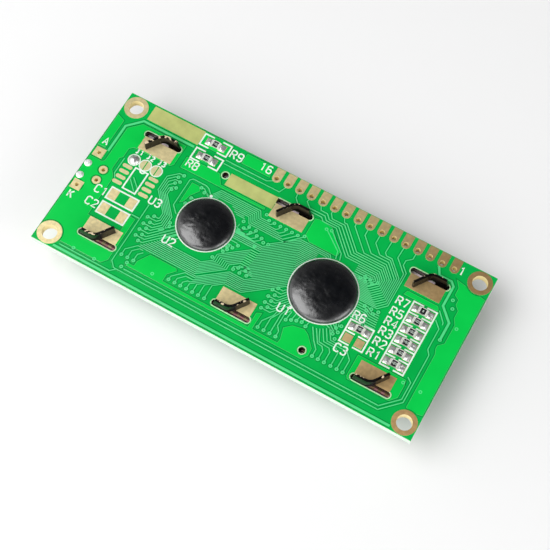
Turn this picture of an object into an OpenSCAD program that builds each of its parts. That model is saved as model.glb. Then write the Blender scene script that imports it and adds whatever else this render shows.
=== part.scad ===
// Character display module: a two-line liquid crystal display clamped to its circuit board.
// It lies on the face of its metal bezel, display downwards, with the component side of the board up.
// X runs along the row of header holes, Y runs towards that row, Z runs up out of the component side.
// The origin is the centre of the board's outline, on the surface that the bezel lies on.

/* [Board] */
// Length of the circuit board, along the row of header holes
board_w = 80; // [79:0.5:90]
// Depth of the circuit board
board_d = 36; // [35.5:0.5:44]
// Thickness of the laminate
board_t = 1.6; // [1:0.1:2.4]
// Distance from the board's edges to the middle of a mounting hole
mount_edge = 2.5; // [2.5:0.1:3]
// Bore of a mounting hole
mount_hole_d = 3; // [2:0.1:3.4]
// Outer diameter of the plated land round a mounting hole
mount_land_d = 4.8; // [4:0.1:5]
// Thickness of the copper lands on both faces
copper_t = 0.05; // [0.03:0.01:0.1]
// Thickness of the plating inside a hole
plating_t = 0.05; // [0.03:0.01:0.1]
// Thickness of the white legend ink
ink_t = 0.03; // [0.02:0.01:0.05]
// Width of the legend lines
ink_line = 0.3; // [0.15:0.05:0.4]

/* [Header] */
// Number of header holes
header_pins = 16; // [14:1:16]
// Pitch of the header holes
header_pitch = 2.54; // [2:0.01:2.54]
// Distance from the board's end to the first header hole
header_end = 7.95; // [7.5:0.05:9]
// Distance from the board's edge to the row of header holes
header_edge = 2.3; // [1.8:0.1:2.6]
// Bore of a header hole
header_hole_d = 1; // [0.8:0.05:1.2]
// Width of a header land
header_land_w = 1.8; // [1.6:0.05:1.9]

/* [Bezel] */
// Distance from the board's end to the bezel's end wall
bezel_end = 4.4; // [4.1:0.1:5]
// Depth of the bezel over its walls
bezel_d = 25; // [24.6:0.1:26]
// Offset of the bezel from the middle of the board, towards the header
bezel_y = -0.4; // [-1:0.1:0.2]
// Thickness of the steel sheet
sheet_t = 0.5; // [0.3:0.05:0.6]
// Outer radius of the bends between face and walls
bend_r = 0.9; // [0.7:0.1:1.5]
// Width of the face beside the window, at the bezel's ends
window_end = 3.35; // [3.1:0.05:6]
// Width of the face above and below the window
window_side = 4.5; // [4.3:0.1:6]
// Corner radius of the window
window_r = 0.6; // [0.3:0.1:2]
// Slit between two walls at a corner of the fold
corner_slit = 0.25; // [0.1:0.05:0.5]

/* [Tabs] */
// Distance from the bezel's end wall to the middle of the nearest slot
slot_end = 6.6; // [6:0.1:10]
// Length of a slot in the board
slot_l = 8; // [7.9:0.1:9]
// Width of a slot in the board
slot_w = 1.2; // [0.9:0.05:1.5]
// Clearance between a tab and the end or the outer side of its slot
tab_clear = 0.12; // [0.05:0.01:0.2]
// Height of a tab above the board
tab_h = 2.3; // [1.5:0.1:3]
// Length of a tab's root, which stays upright in the slot
tab_root = 2.5; // [2:0.1:3]
// Length of the straight end of a tab's hook
tab_arm = 2.95; // [2:0.05:3]
// Radius of the hook's bend, at the middle of the sheet
tab_bend_r = 2; // [1:0.1:2.1]
// Angle by which the hook is bent over the board
tab_bend = 55; // [30:1:60]
// Slope cut on a tab's upper outer corner
tab_lead = 0.55; // [0.2:0.05:1]

/* [Display] */
// Thickness of each polarising film
polariser_t = 0.2; // [0.15:0.05:0.3]
// Thickness of each glass plate
glass_t = 1.1; // [0.7:0.1:1.2]
// Thickness of the liquid crystal layer and its seal
cell_t = 0.05; // [0.02:0.01:0.1]
// Clearance between the front glass and the bezel's walls
glass_gap = 0.2; // [0.1:0.05:0.3]
// Overlap of the films past the window on each side
film_overlap = 0.6; // [0.3:0.05:0.65]
// Width of the seal round the liquid crystal
seal_w = 1; // [0.6:0.1:1.5]
// Setback of the seal from the edge of the rear glass
seal_inset = 0.5; // [0.2:0.1:0.8]

/* [Backlight] */
// Thickness of the diffuser film
diffuser_t = 0.15; // [0.1:0.05:0.3]
// Thickness of the light guide
guide_t = 2.5; // [2:0.1:4]
// Thickness of the reflector film
reflector_t = 0.15; // [0.1:0.05:0.3]
// Thickness of the housing's back
housing_back = 1.05; // [0.8:0.05:2]
// Play of the films and the guide in the housing's pocket
pocket_gap = 0.1; // [0.05:0.01:0.15]
// Thickness of the strip that carries the lamps
lamp_strip_t = 0.6; // [0.4:0.05:0.8]
// Depth of a lamp, from its strip to its lens
lamp_depth = 0.6; // [0.4:0.05:0.9]
// Length of a lamp
lamp_w = 3.2; // [2:0.1:3.5]
// Number of lamps
lamps = 3; // [2:1:4]
// Distance between the two connecting legs
leg_span = 2.9; // [2.6:0.1:4]
// Width of a connecting leg
leg_w = 0.6; // [0.4:0.05:0.7]
// Thickness of a connecting leg
leg_t = 0.3; // [0.2:0.05:0.4]

/* [Contact strips] */
// Width of an elastomer contact strip
strip_w = 1.85; // [1.5:0.05:2]
// Width of the conducting core of a strip
core_w = 0.5; // [0.3:0.05:0.8]
// Distance from the bezel's end wall to the end of a contact strip
strip_end = 2.6; // [1:0.1:5]
// Clearance between a strip and the bezel's wall
strip_gap = 0.25; // [0.15:0.05:0.4]
// Pitch of the contact fingers under a strip
finger_pitch = 1.4; // [1:0.1:2]

/* [Sealed chips] */
// Radius of the large epoxy cap
cap_large_r = 6.5; // [5.5:0.1:6.6]
// Radius of the small epoxy cap
cap_small_r = 5.5; // [4.5:0.1:5.7]
// Height of the large epoxy cap
cap_large_h = 1.7; // [1.2:0.1:2]
// Height of the small epoxy cap
cap_small_h = 1.5; // [1:0.1:2]

/* [Resistors] */
// Length of a chip resistor
chip_l = 2; // [1.6:0.05:2.1]
// Width of a chip resistor
chip_w = 1.25; // [0.8:0.05:1.4]
// Height of a chip resistor
chip_h = 0.5; // [0.4:0.05:0.65]
// Length of a chip resistor's end cap
chip_cap = 0.4; // [0.25:0.05:0.5]
// Pitch of the resistors in the column
column_pitch = 2.325; // [2.2:0.005:2.35]

/* [Hidden] */
$fn = 48;
overcut = 1;
lap = 0.02;

// Heights, from the face of the bezel upwards
z_film = sheet_t;
z_front_glass = z_film + polariser_t;
z_cell = z_front_glass + glass_t;
z_rear_glass = z_cell + cell_t;
z_rear_film = z_rear_glass + glass_t;
z_diffuser = z_rear_film + polariser_t;
z_guide = z_diffuser + diffuser_t;
z_reflector = z_guide + guide_t;
z_pocket = z_reflector + reflector_t;
z_board = z_pocket + housing_back;
z_top = z_board + board_t;
z_lands = z_top + copper_t;

// Plan sizes of the bezel and of what lies inside it, from the middle of the bezel
bezel_w = board_w - 2 * bezel_end;
window_w = bezel_w - 2 * window_end;
window_d = bezel_d - 2 * window_side;
strip_l = bezel_w - 2 * strip_end;
inner_w = bezel_w - 2 * sheet_t;
inner_d = bezel_d - 2 * sheet_t;
front_w = inner_w - 2 * glass_gap;
front_d = inner_d - 2 * glass_gap;
strip_out = inner_d / 2 - strip_gap;
strip_in = strip_out - strip_w;
cell_gap_y = 0.3;
rear_d = 2 * (strip_in - cell_gap_y);
housing_gap_y = 0.2;
housing_w = front_w;
housing_d = 2 * (strip_in - housing_gap_y);
film_w = window_w + 2 * film_overlap;
film_d = window_d + 2 * film_overlap;
lamp_room = lamp_strip_t + lamp_depth;
end_room = 1.2;
pocket_w = film_w + 2 * pocket_gap + end_room;
pocket_d = film_d + 2 * pocket_gap;

// Slots and tabs
wall_y = bezel_d / 2 - sheet_t / 2;
slot_out = bezel_d / 2 + tab_clear;
slot_y = slot_out - slot_w / 2;
slot_pitch = bezel_w / 2 - slot_end;
slot_x = [-slot_pitch, 0, slot_pitch];
slot_end_loss = slot_w / 2 - sqrt(pow(slot_w / 2, 2) - pow(slot_w / 2 - tab_clear, 2));
tab_land_w = 7.2;
tab_land_d = 3;

// Backlight legs and the tongue of the housing that carries them past the bezel
leg_edge = 0.85;
leg_x = -board_w / 2 + leg_edge;
leg_mid_y = -0.95;
leg_y = [leg_mid_y - leg_span / 2, leg_mid_y + leg_span / 2];
leg_hole_r = 0.45;
leg_top = z_top + 0.6;
leg_z = z_guide + guide_t / 2;
tongue_side = 0.9;
tongue_gap = 0.3;
tongue_w = leg_span + 2 * tongue_side;
tongue_end = 0.45;
tongue_under = 1;
tongue_z = leg_z - tongue_under;
notch_gap = 0.15;

// Layout of the component side, from the middle of the board. The small parts keep their distance to the
// board's nearer end, and the sealed chips keep theirs.
mount_x = board_w / 2 - mount_edge;
mount_y = board_d / 2 - mount_edge;
header_x = board_w / 2 - header_end;
header_y = board_d / 2 - header_edge;
land_inset = 0.1;
header_land_r = header_land_w / 2;
plate_gap = 0.1;
middle_plate = [10.35, 2.75];
middle_plate_at = [-tab_land_w / 2 - plate_gap - middle_plate.x, 9.5];
tooling_r = 0.65;
tooling_at = [middle_plate_at + [-0.85, 1.85], [15.05, -12.6]];
cap_x = board_w / 2 - 27.1;
cap_large_at = [cap_x, -0.45];
cap_small_at = [-cap_x, 0.4];
cap_bulge = 2.3;
ring_gap = 0.02;
ring_w = 0.2;
column_end = 9.15;
column_at = [board_w / 2 - column_end, -0.825];
column_count = 6;
column_y = [for (k = [0 : column_count - 1]) column_at.y + (k - (column_count - 1) / 2) * column_pitch];
pair_x = middle_plate_at.x - 5.75;
pair_at = [[pair_x, 16.05], [pair_x, 12.6]];
lone_at = column_at - [8.5, 3.125];
lone_pitch = 2.4;
resistor_at = concat([for (y = column_y) [column_at.x, y]], pair_at, [lone_at]);
cap_skin = 0.05;
chip_land_in = 0.75;
chip_land_out = 2.15;
chip_land_w = 1.5;
solder_h = 0.35;
solder_foot = 0.08;
column_frame = [5.05, column_pitch + ink_line];
pair_frame = [6.2, 2.85];
lone_frame = [5.05, lone_pitch + ink_line];
frame_gap = 0.7;
pair_gap = 1.9;
capacitor_x = 10.65 - board_w / 2;
capacitor_at = [[capacitor_x, -2.85], [capacitor_x, -6.25]];
capacitor_land = [1.7, 2.2];
capacitor_reach = 1.95;
capacitor_frame = [6.25, 2.85];
small_capacitor_at = lone_at - [0, lone_pitch];
small_capacitor_land = [1.65, 1.65];
small_capacitor_reach = 1.2;
driver_at = [capacitor_x + 0.1, 1.7];
driver_pitch = 1.27;
driver_rows = 4;
driver_reach = 2.9;
driver_land = [2.05, 0.75];
driver_frame = [3.05, 5.2];
link_y = 5.45;
link_at = [[capacitor_x - 2.45, link_y], [capacitor_x + 0.05, link_y], [capacitor_x + 2.5, link_y]];
link_r = 1.05;
link_split = 0.22;
link_dome_h = 0.6;
link_ring_w = 0.2;
square_land = 2.1;
square_edge = 1.5;
square_x = square_edge - board_w / 2;
square_at = [[square_x, 3.5], [square_x, -4.5]];
round_land_r = 0.85;
round_out = 0.2;
round_x = -bezel_w / 2 - round_out;
round_at = [[round_x, 0.65], [round_x, -1.85]];
wire_hole_r = 0.4;
corner_plate_gap = 0.75;
corner_plate_x = mount_land_d / 2 + corner_plate_gap - mount_x;
corner_plate = [pair_x - pair_frame.x / 2 - plate_gap / 2 - corner_plate_x, 3.3];
corner_plate_at = [corner_plate_x, 14.35];

// ---- shared shapes ----

// A flat plate centred on the bezel, from height z upwards
module layer(w, d, t, z) {
    translate([-w / 2, bezel_y - d / 2, z]) cube([w, d, t]);
}

// A drill through the board
module drill(r) {
    translate([0, 0, z_board - overcut]) cylinder(h = board_t + 2 * overcut, r = r);
}

// A flat land on the component side
module land() {
    translate([0, 0, z_top]) linear_extrude(copper_t) children();
}

// A line of legend ink on the component side
module ink() {
    translate([0, 0, z_top]) linear_extrude(ink_t) children();
}

// A plated hole: a land on each face, joined by the barrel. The child is the outline of the land.
module plated_hole(r) {
    difference() {
        union() {
            for (z = [z_top, z_board - copper_t]) translate([0, 0, z]) linear_extrude(copper_t) children();
            translate([0, 0, z_board]) cylinder(h = board_t, r = r + plating_t);
        }
        drill(r);
    }
}

module at_mounts() {
    for (x = [-mount_x, mount_x], y = [-mount_y, mount_y]) translate([x, y, 0]) children();
}

module at_header() {
    for (k = [0 : header_pins - 1]) translate([header_x - k * header_pitch, header_y, 0]) children();
}

module at_points(points) {
    for (p = points) translate([p.x, p.y, 0]) children();
}

// The six slots. The far side is the header side turned by half a turn about the bezel's middle.
module at_slots() {
    for (turn = [0, 180], x = slot_x) translate([0, bezel_y, 0]) rotate(turn) translate([x, 0, 0]) children();
}

// A rectangular outline of legend ink
module frame_outline(size, line = ink_line) {
    difference() {
        square(size, center = true);
        square([size.x - 2 * line, size.y - 2 * line], center = true);
    }
}

// Two legend brackets that face each other across a gap
module brackets(size, gap) {
    difference() {
        frame_outline(size);
        square([gap, size.y + overcut], center = true);
    }
}

// ---- circuit board ----

module slot_cutter() {
    translate([0, -slot_y, z_board - overcut]) {
        translate([-(slot_l - slot_w) / 2, -slot_w / 2, 0]) cube([slot_l - slot_w, slot_w, board_t + 2 * overcut]);
        for (s = [-1, 1]) translate([s * (slot_l - slot_w) / 2, 0, 0])
            cylinder(h = board_t + 2 * overcut, r = slot_w / 2);
    }
}

module circuit_board() {
    color("mediumseagreen")
    difference() {
        translate([-board_w / 2, -board_d / 2, z_board]) cube([board_w, board_d, board_t]);
        at_mounts() drill(mount_hole_d / 2 + plating_t);
        at_header() drill(header_hole_d / 2 + plating_t);
        at_slots() slot_cutter();
        at_points(tooling_at) drill(tooling_r);
        at_points(concat(square_at, round_at)) drill(wire_hole_r + plating_t);
        for (y = leg_y) translate([leg_x, y, 0]) drill(leg_hole_r);
    }
}

module board_header_lands() {
    color("tan")
    at_header() plated_hole(header_hole_d / 2) {
        union() {
            circle(header_land_r);
            translate([-header_land_r, 0]) square([header_land_w, header_edge - land_inset]);
        }
    }
}

module mounting_lands() {
    color("tan")
    at_mounts() plated_hole(mount_hole_d / 2) circle(mount_land_d / 2);
}

module backlight_lands() {
    color("tan") {
        at_points(square_at) plated_hole(wire_hole_r) square(square_land, center = true);
        at_points(round_at) plated_hole(wire_hole_r) circle(round_land_r);
    }
}

module tab_lands() {
    color("tan")
    at_slots() translate([0, slot_w - slot_out, 0]) land() {
        translate([-tab_land_w / 2, 0]) square([tab_land_w, tab_land_d]);
    }
}

module capacitor_lands() {
    color("burlywood") {
        at_points(capacitor_at) land() {
            for (s = [-1, 1]) translate([s * capacitor_reach, 0]) square(capacitor_land, center = true);
        }
        at_points([small_capacitor_at]) land() {
            for (s = [-1, 1]) translate([s * small_capacitor_reach, 0]) square(small_capacitor_land, center = true);
        }
    }
}

// One long land with round ends
module oval(size) {
    square([size.x - size.y, size.y], center = true);
    for (s = [-1, 1]) translate([s * (size.x - size.y) / 2, 0]) circle(size.y / 2);
}

module driver_lands() {
    color("burlywood")
    at_points([driver_at]) land() {
        for (s = [-1, 1], k = [0 : driver_rows - 1])
            translate([s * driver_reach, (k - (driver_rows - 1) / 2) * driver_pitch]) oval(driver_land);
    }
}

module link_lands() {
    color("burlywood")
    at_points(link_at) land() difference() {
        circle(link_r);
        square([link_split, 2 * link_r + overcut], center = true);
    }
}

// The one link that is closed: a dome of solder over both halves of its land
module link_solder() {
    dome_r = (link_r * link_r + link_dome_h * link_dome_h) / (2 * link_dome_h);
    color("gainsboro")
    at_points([link_at[0]]) translate([0, 0, z_lands]) intersection() {
        translate([0, 0, link_dome_h - dome_r]) sphere(dome_r);
        cylinder(h = 2 * link_dome_h, r = 2 * link_r);
    }
}

module blank_plates() {
    color("darkkhaki") {
        at_points([corner_plate_at]) land() square(corner_plate);
        at_points([middle_plate_at]) land() square(middle_plate);
    }
}

// ---- legend ----

module legend_frames() {
    for (y = column_y) translate([column_at.x, y]) brackets(column_frame, frame_gap);
    for (p = pair_at) translate(p) brackets(pair_frame, pair_gap);
    for (p = [lone_at, small_capacitor_at]) translate(p) brackets(lone_frame, frame_gap);
    for (p = capacitor_at) translate(p) frame_outline(capacitor_frame);
    translate(driver_at) frame_outline(driver_frame);
}

module ring(r, w) {
    difference() {
        circle(r + w);
        circle(r);
    }
}

module legend_rings() {
    translate(cap_large_at) ring(cap_large_r + ring_gap, ring_w);
    translate(cap_small_at) ring(cap_small_r + ring_gap, ring_w);
    for (p = link_at) translate(p) circle(link_r + ring_gap + link_ring_w);
}

module legend() {
    color("white") ink() difference() {
        union() {
            legend_frames();
            legend_rings();
        }
        for (p = link_at) translate(p) circle(link_r + ring_gap);
    }
}

// ---- sealed chips ----

// A poured cap: flat on top, steeper towards its rim
module epoxy_cap(r, h) {
    steps = 14;
    rim = [for (k = [0 : steps]) let (a = 90 * k / steps)
        [r * pow(cos(a), 2 / cap_bulge), h * pow(sin(a), 2 / cap_bulge)]];
    color([0.06, 0.06, 0.08])
    translate([0, 0, z_top]) rotate_extrude($fn = 96) polygon(concat([[0, 0]], rim));
}

module epoxy_cap_large() {
    at_points([cap_large_at]) epoxy_cap(cap_large_r, cap_large_h);
}

module epoxy_cap_small() {
    at_points([cap_small_at]) epoxy_cap(cap_small_r, cap_small_h);
}

// ---- chip resistors ----

module block(l, w, h, z) {
    translate([-l / 2, -w / 2, z]) cube([l, w, h]);
}

module resistor_bodies() {
    color("white")
    at_points(resistor_at) block(chip_l - 2 * cap_skin, chip_w, chip_h - 2 * cap_skin, z_lands + cap_skin);
}

module resistor_coats() {
    color([0.12, 0.12, 0.12])
    at_points(resistor_at) block(chip_l - 2 * chip_cap, chip_w, cap_skin, z_lands + chip_h - cap_skin);
}

module resistor_end_caps() {
    color("gainsboro")
    at_points(resistor_at) difference() {
        block(chip_l, chip_w, chip_h, z_lands);
        block(chip_l - 2 * chip_cap, chip_w + overcut, chip_h + overcut, z_lands - overcut / 2);
        block(chip_l - 2 * cap_skin, chip_w + overcut, chip_h - 2 * cap_skin, z_lands + cap_skin);
    }
}

module resistor_lands() {
    color("tan")
    at_points(resistor_at) land() {
        for (s = [-1, 1]) translate([s * (chip_land_in + chip_land_out) / 2, 0])
            square([chip_land_out - chip_land_in, chip_land_w], center = true);
    }
}

// A hollow fillet of solder from the outer end of the land up the end cap
module fillet_profile(run) {
    sweep_r = (pow(run, 2) + pow(solder_h - solder_foot, 2)) / (2 * (solder_h - solder_foot));
    difference() {
        square([run, solder_h]);
        translate([run, solder_foot + sweep_r]) circle(sweep_r);
    }
}

module resistor_solder() {
    run = chip_land_out - chip_l / 2;
    color("silver")
    at_points(resistor_at) for (turn = [0, 180]) rotate(turn)
        translate([chip_l / 2, chip_land_w / 2, z_lands]) rotate([90, 0, 0])
            linear_extrude(chip_land_w) fillet_profile(run);
}

// ---- metal bezel ----

// Section of a folded tray: straight walls, round bends at the foot
module tray_section(w, h, r) {
    translate([-w / 2, r]) square([w, h - r]);
    translate([-w / 2 + r, 0]) square([w - 2 * r, h]);
    for (s = [-1, 1]) translate([s * (w / 2 - r), r]) circle(r);
}

module tray(w, d, h, r) {
    intersection() {
        rotate([90, 0, 0]) linear_extrude(d + overcut, center = true) tray_section(w, h, r);
        rotate([90, 0, 90]) linear_extrude(w + overcut, center = true) tray_section(d, h, r);
    }
}

module window_cutter() {
    x = window_w / 2 - window_r;
    y = window_d / 2 - window_r;
    translate([0, 0, -overcut]) {
        translate([-x, -window_d / 2, 0]) cube([2 * x, window_d, sheet_t + 2 * overcut]);
        translate([-window_w / 2, -y, 0]) cube([window_w, 2 * y, sheet_t + 2 * overcut]);
        for (sx = [-1, 1], sy = [-1, 1]) translate([sx * x, sy * y, 0])
            cylinder(h = sheet_t + 2 * overcut, r = window_r);
    }
}

// Slits where two walls meet, open from the board down to the bend
module corner_slits() {
    reach = 4 * sheet_t;
    for (sx = [-1, 1], sy = [-1, 1])
        translate([sx * bezel_w / 2, sy * bezel_d / 2, bend_r]) rotate(sx * sy * 45)
            translate([-reach, -corner_slit / 2, 0]) cube([2 * reach, corner_slit, z_board]);
}

// One tab, from the outer end of its root: upright in its slot, then bent over the board as a hook.
// X runs along the wall, Y towards the middle of the board.
module tab() {
    hook_h = z_top + tab_h - z_lands;
    seat = 2 * sheet_t;
    translate([0, sheet_t / 2, 0]) rotate([90, 0, 0]) linear_extrude(sheet_t)
        polygon([
            [0, z_board - seat], [tab_root, z_board - seat], [tab_root, z_top + tab_h],
            [tab_lead, z_top + tab_h], [0, z_top]
        ]);
    translate([tab_root, tab_bend_r, z_lands]) {
        linear_extrude(hook_h) intersection() {
            ring(tab_bend_r - sheet_t / 2, sheet_t);
            polygon([[0, 0], [0, -2 * tab_bend_r], 2 * tab_bend_r * [tan(tab_bend), -1]]);
        }
        rotate(tab_bend) translate([-lap, -tab_bend_r - sheet_t / 2, 0]) cube([tab_arm + lap, sheet_t, hook_h]);
    }
}

module at_tabs() {
    at_slots() translate([-slot_l / 2 + slot_end_loss + tab_clear, -wall_y, 0]) children();
}

module metal_bezel() {
    color([0.1, 0.1, 0.11]) {
        difference() {
            translate([0, bezel_y, 0]) difference() {
                tray(bezel_w, bezel_d, z_board, bend_r);
                translate([0, 0, sheet_t]) tray(inner_w, inner_d, z_board, bend_r - sheet_t);
                window_cutter();
                corner_slits();
            }
            tongue_body(notch_gap, -bezel_w / 2 + 2 * sheet_t, z_board + overcut);
        }
        at_tabs() tab();
    }
}

// ---- display cell ----

module front_polariser() {
    color([0.2, 0.3, 0.55]) layer(film_w, film_d, polariser_t, z_film);
}

module front_glass() {
    color([0.75, 0.85, 0.85, 0.5]) layer(front_w, front_d, glass_t, z_front_glass);
}

module cell_seal() {
    w = front_w - 2 * seal_inset;
    d = rear_d - 2 * seal_inset;
    color("lightyellow") difference() {
        layer(w, d, cell_t, z_cell);
        layer(w - 2 * seal_w, d - 2 * seal_w, cell_t + 2 * overcut, z_cell - overcut);
    }
}

module liquid_crystal() {
    w = front_w - 2 * (seal_inset + seal_w);
    d = rear_d - 2 * (seal_inset + seal_w);
    color([0.15, 0.25, 0.6]) layer(w, d, cell_t, z_cell);
}

module rear_glass() {
    color([0.75, 0.85, 0.85, 0.5]) layer(front_w, rear_d, glass_t, z_rear_glass);
}

module rear_polariser() {
    color([0.2, 0.3, 0.55]) layer(film_w, film_d, polariser_t, z_rear_film);
}

// ---- contact strips ----

module strip(side) {
    color("pink") difference() {
        strip_block(side, 0, strip_w);
        strip_block(side, (strip_w - core_w) / 2, core_w, overcut);
    }
}

// A length of a strip: from inset inwards of its inner face, w wide, reaching past both faces by extra
module strip_block(side, inset, w, extra = 0) {
    h = z_board - copper_t - z_cell;
    y = side > 0 ? strip_in + inset : -strip_in - inset - w;
    translate([-strip_l / 2 - extra, bezel_y + y, z_cell - extra]) cube([strip_l + 2 * extra, w, h + 2 * extra]);
}

module contact_strip_header_side() {
    strip(1);
}

module contact_strip_far_side() {
    strip(-1);
}

module contact_cores() {
    color([0.15, 0.15, 0.15]) for (side = [-1, 1]) strip_block(side, (strip_w - core_w) / 2, core_w);
}

module contact_fingers() {
    count = floor(strip_l / finger_pitch);
    finger_w = finger_pitch / 2;
    color("tan") for (side = [-1, 1], k = [0 : count - 1])
        translate([
            (k - (count - 1) / 2) * finger_pitch - finger_w / 2,
            bezel_y + (side > 0 ? strip_in : -strip_out),
            z_board - copper_t
        ]) cube([finger_w, strip_w, copper_t]);
}

// ---- backlight ----

module diffuser_film() {
    color("whitesmoke") layer(film_w, film_d, diffuser_t, z_diffuser);
}

module light_guide() {
    x = -pocket_w / 2 + lamp_room;
    color([0.85, 0.95, 0.95, 0.6])
    translate([x, bezel_y - film_d / 2, z_guide]) cube([pocket_w / 2 - pocket_gap - x, film_d, guide_t]);
}

module reflector_film() {
    x = -pocket_w / 2 + lamp_strip_t;
    color("white")
    translate([x, bezel_y - film_d / 2, z_reflector]) cube([pocket_w / 2 - pocket_gap - x, film_d, reflector_t]);
}

module lamp_strip() {
    color("honeydew")
    translate([-pocket_w / 2, bezel_y - film_d / 2, z_guide])
        cube([lamp_strip_t, film_d, guide_t + reflector_t]);
}

module backlight_lamps() {
    pitch = film_d / lamps;
    color("lightyellow") for (k = [0 : lamps - 1])
        translate([
            -pocket_w / 2 + lamp_strip_t,
            bezel_y + (k - (lamps - 1) / 2) * pitch - lamp_w / 2,
            z_guide
        ]) cube([lamp_depth, lamp_w, guide_t]);
}

// The two legs: out of the lamp strip, through the tongue, up through the board
module legs() {
    for (y = leg_y) translate([0, y - leg_w / 2, 0]) {
        translate([leg_x - leg_t / 2, 0, leg_z]) cube([-pocket_w / 2 - leg_x + leg_t / 2, leg_w, leg_t]);
        translate([leg_x - leg_t / 2, 0, leg_z]) cube([leg_t, leg_w, leg_top - leg_z]);
    }
}

module backlight_legs() {
    color("silver") legs();
}

// The block that carries the legs, grown by gap on its sides and underside, as far as x_end and up to top
module tongue_body(gap, x_end, top) {
    x = -board_w / 2 + tongue_end - gap;
    translate([x, leg_mid_y - tongue_w / 2 - gap, tongue_z - gap])
        cube([x_end - x, tongue_w + 2 * gap, top - tongue_z + gap]);
}

module backlight_housing() {
    color("white") difference() {
        union() {
            layer(housing_w, housing_d, z_board - z_rear_film, z_rear_film);
            tongue_body(0, -housing_w / 2 + overcut, z_board - tongue_gap);
        }
        layer(pocket_w, pocket_d, z_pocket - z_rear_film + overcut, z_rear_film - overcut);
        legs();
    }
}

// Cones of solder round the two legs
module leg_solder() {
    foot_r = 0.8;
    neck_r = 0.4;
    h = 0.5;
    sweep_r = (pow(foot_r - neck_r, 2) + h * h) / (2 * (foot_r - neck_r));
    color("silver") difference() {
        for (y = leg_y) translate([leg_x, y, z_top]) rotate_extrude() difference() {
            square([foot_r, h]);
            translate([neck_r + sweep_r, h]) circle(sweep_r);
        }
        legs();
    }
}

circuit_board();
metal_bezel();
front_polariser();
front_glass();
liquid_crystal();
cell_seal();
rear_glass();
rear_polariser();
diffuser_film();
light_guide();
reflector_film();
backlight_housing();
lamp_strip();
backlight_lamps();
backlight_legs();
leg_solder();
contact_strip_header_side();
contact_strip_far_side();
contact_cores();
contact_fingers();
epoxy_cap_large();
epoxy_cap_small();
resistor_bodies();
resistor_coats();
resistor_end_caps();
resistor_lands();
resistor_solder();
board_header_lands();
mounting_lands();
tab_lands();
capacitor_lands();
driver_lands();
link_lands();
link_solder();
backlight_lands();
blank_plates();
legend();
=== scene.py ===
"""Dresses the character display module: mask over its copper, marks, sealed chips, solder, display."""

import math

import bpy
from bpy.props import FloatProperty, FloatVectorProperty, PointerProperty
from mathutils import Matrix, Vector, geometry, noise


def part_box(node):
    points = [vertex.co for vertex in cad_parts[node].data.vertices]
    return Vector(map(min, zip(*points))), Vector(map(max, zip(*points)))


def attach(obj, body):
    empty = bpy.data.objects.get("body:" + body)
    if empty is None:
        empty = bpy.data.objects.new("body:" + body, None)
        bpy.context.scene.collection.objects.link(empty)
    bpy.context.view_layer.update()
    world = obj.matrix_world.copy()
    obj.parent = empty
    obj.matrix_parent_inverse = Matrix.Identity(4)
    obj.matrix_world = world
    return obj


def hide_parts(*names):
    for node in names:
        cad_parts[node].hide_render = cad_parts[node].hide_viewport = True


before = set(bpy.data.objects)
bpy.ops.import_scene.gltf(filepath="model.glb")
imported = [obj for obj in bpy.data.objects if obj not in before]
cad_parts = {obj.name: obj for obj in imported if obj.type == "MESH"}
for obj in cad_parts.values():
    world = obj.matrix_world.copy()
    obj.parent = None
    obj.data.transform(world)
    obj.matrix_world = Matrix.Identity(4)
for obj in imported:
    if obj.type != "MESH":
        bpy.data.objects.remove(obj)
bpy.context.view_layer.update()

bl_info = {
    "name": "Character display module dressing",
    "version": (1, 0, 0),
    "blender": (4, 5, 0),
    "location": "3D View > Sidebar > Display module",
    "description": "Finishes, relief and small detail of a character display module",
    "category": "Object",
}

MM = 0.001
BODY = "root"
BOARD_LOW, BOARD_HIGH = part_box("circuit_board")
Z_TOP = BOARD_HIGH.z


# ---- colour and number helpers ----


def srgb(red, green, blue):
    """A display colour, 0 to 255, as the linear colour that a shader takes."""
    parts = []
    for value in (red, green, blue):
        value /= 255
        parts.append(value / 12.92 if value <= 0.04045 else ((value + 0.055) / 1.055) ** 2.4)
    return tuple(parts)


def colour_prop(name, description, value):
    return FloatVectorProperty(
        name=name, description=description, default=srgb(*value), subtype="COLOR", size=3, min=0, max=1
    )


def length_prop(name, description, millimetres):
    return FloatProperty(
        name=name,
        description=description,
        default=millimetres * MM,
        subtype="DISTANCE",
        unit="LENGTH",
        min=0,
        precision=5,
    )


class ModuleSizes(bpy.types.PropertyGroup):
    """Sizes of the detail that the dressing adds."""

    track_w: length_prop("Track width", "Width of the top of a copper track under the mask", 0.17)
    track_foot: length_prop("Track foot", "Width of the mask where a track meets the board", 0.27)
    track_h: length_prop("Track height", "Height of the mask over a track", 0.022)
    gutter_w: length_prop("Gutter width", "Width of the darker mask beside a track", 0.5)
    gutter_h: length_prop("Gutter height", "Height of the darker mask beside a track", 0.006)
    wide_track_w: length_prop("Wide track width", "Width of a supply track", 0.42)
    pour_h: length_prop("Copper area height", "Height of the mask over a copper area", 0.02)
    pour_slope: length_prop("Copper area slope", "Width of the slope round a copper area", 0.12)
    pour_gap: length_prop("Copper area gap", "Bare board between a copper area and an opening", 0.3)
    rim_w: length_prop("Rim width", "Width of the pale edge round a slot", 0.16)
    via_r: length_prop("Via radius", "Outer radius of a covered via", 0.42)
    stroke_w: length_prop("Stroke width", "Width of the legend's strokes", 0.27)
    stroke_h: length_prop("Stroke height", "Height of the legend ink above the board", 0.036)
    wrinkle: length_prop("Wrinkle depth", "Depth of the wrinkles in the epoxy skin", 0.045)
    floor_size: length_prop("Floor size", "Side of the floor", 3000)


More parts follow.
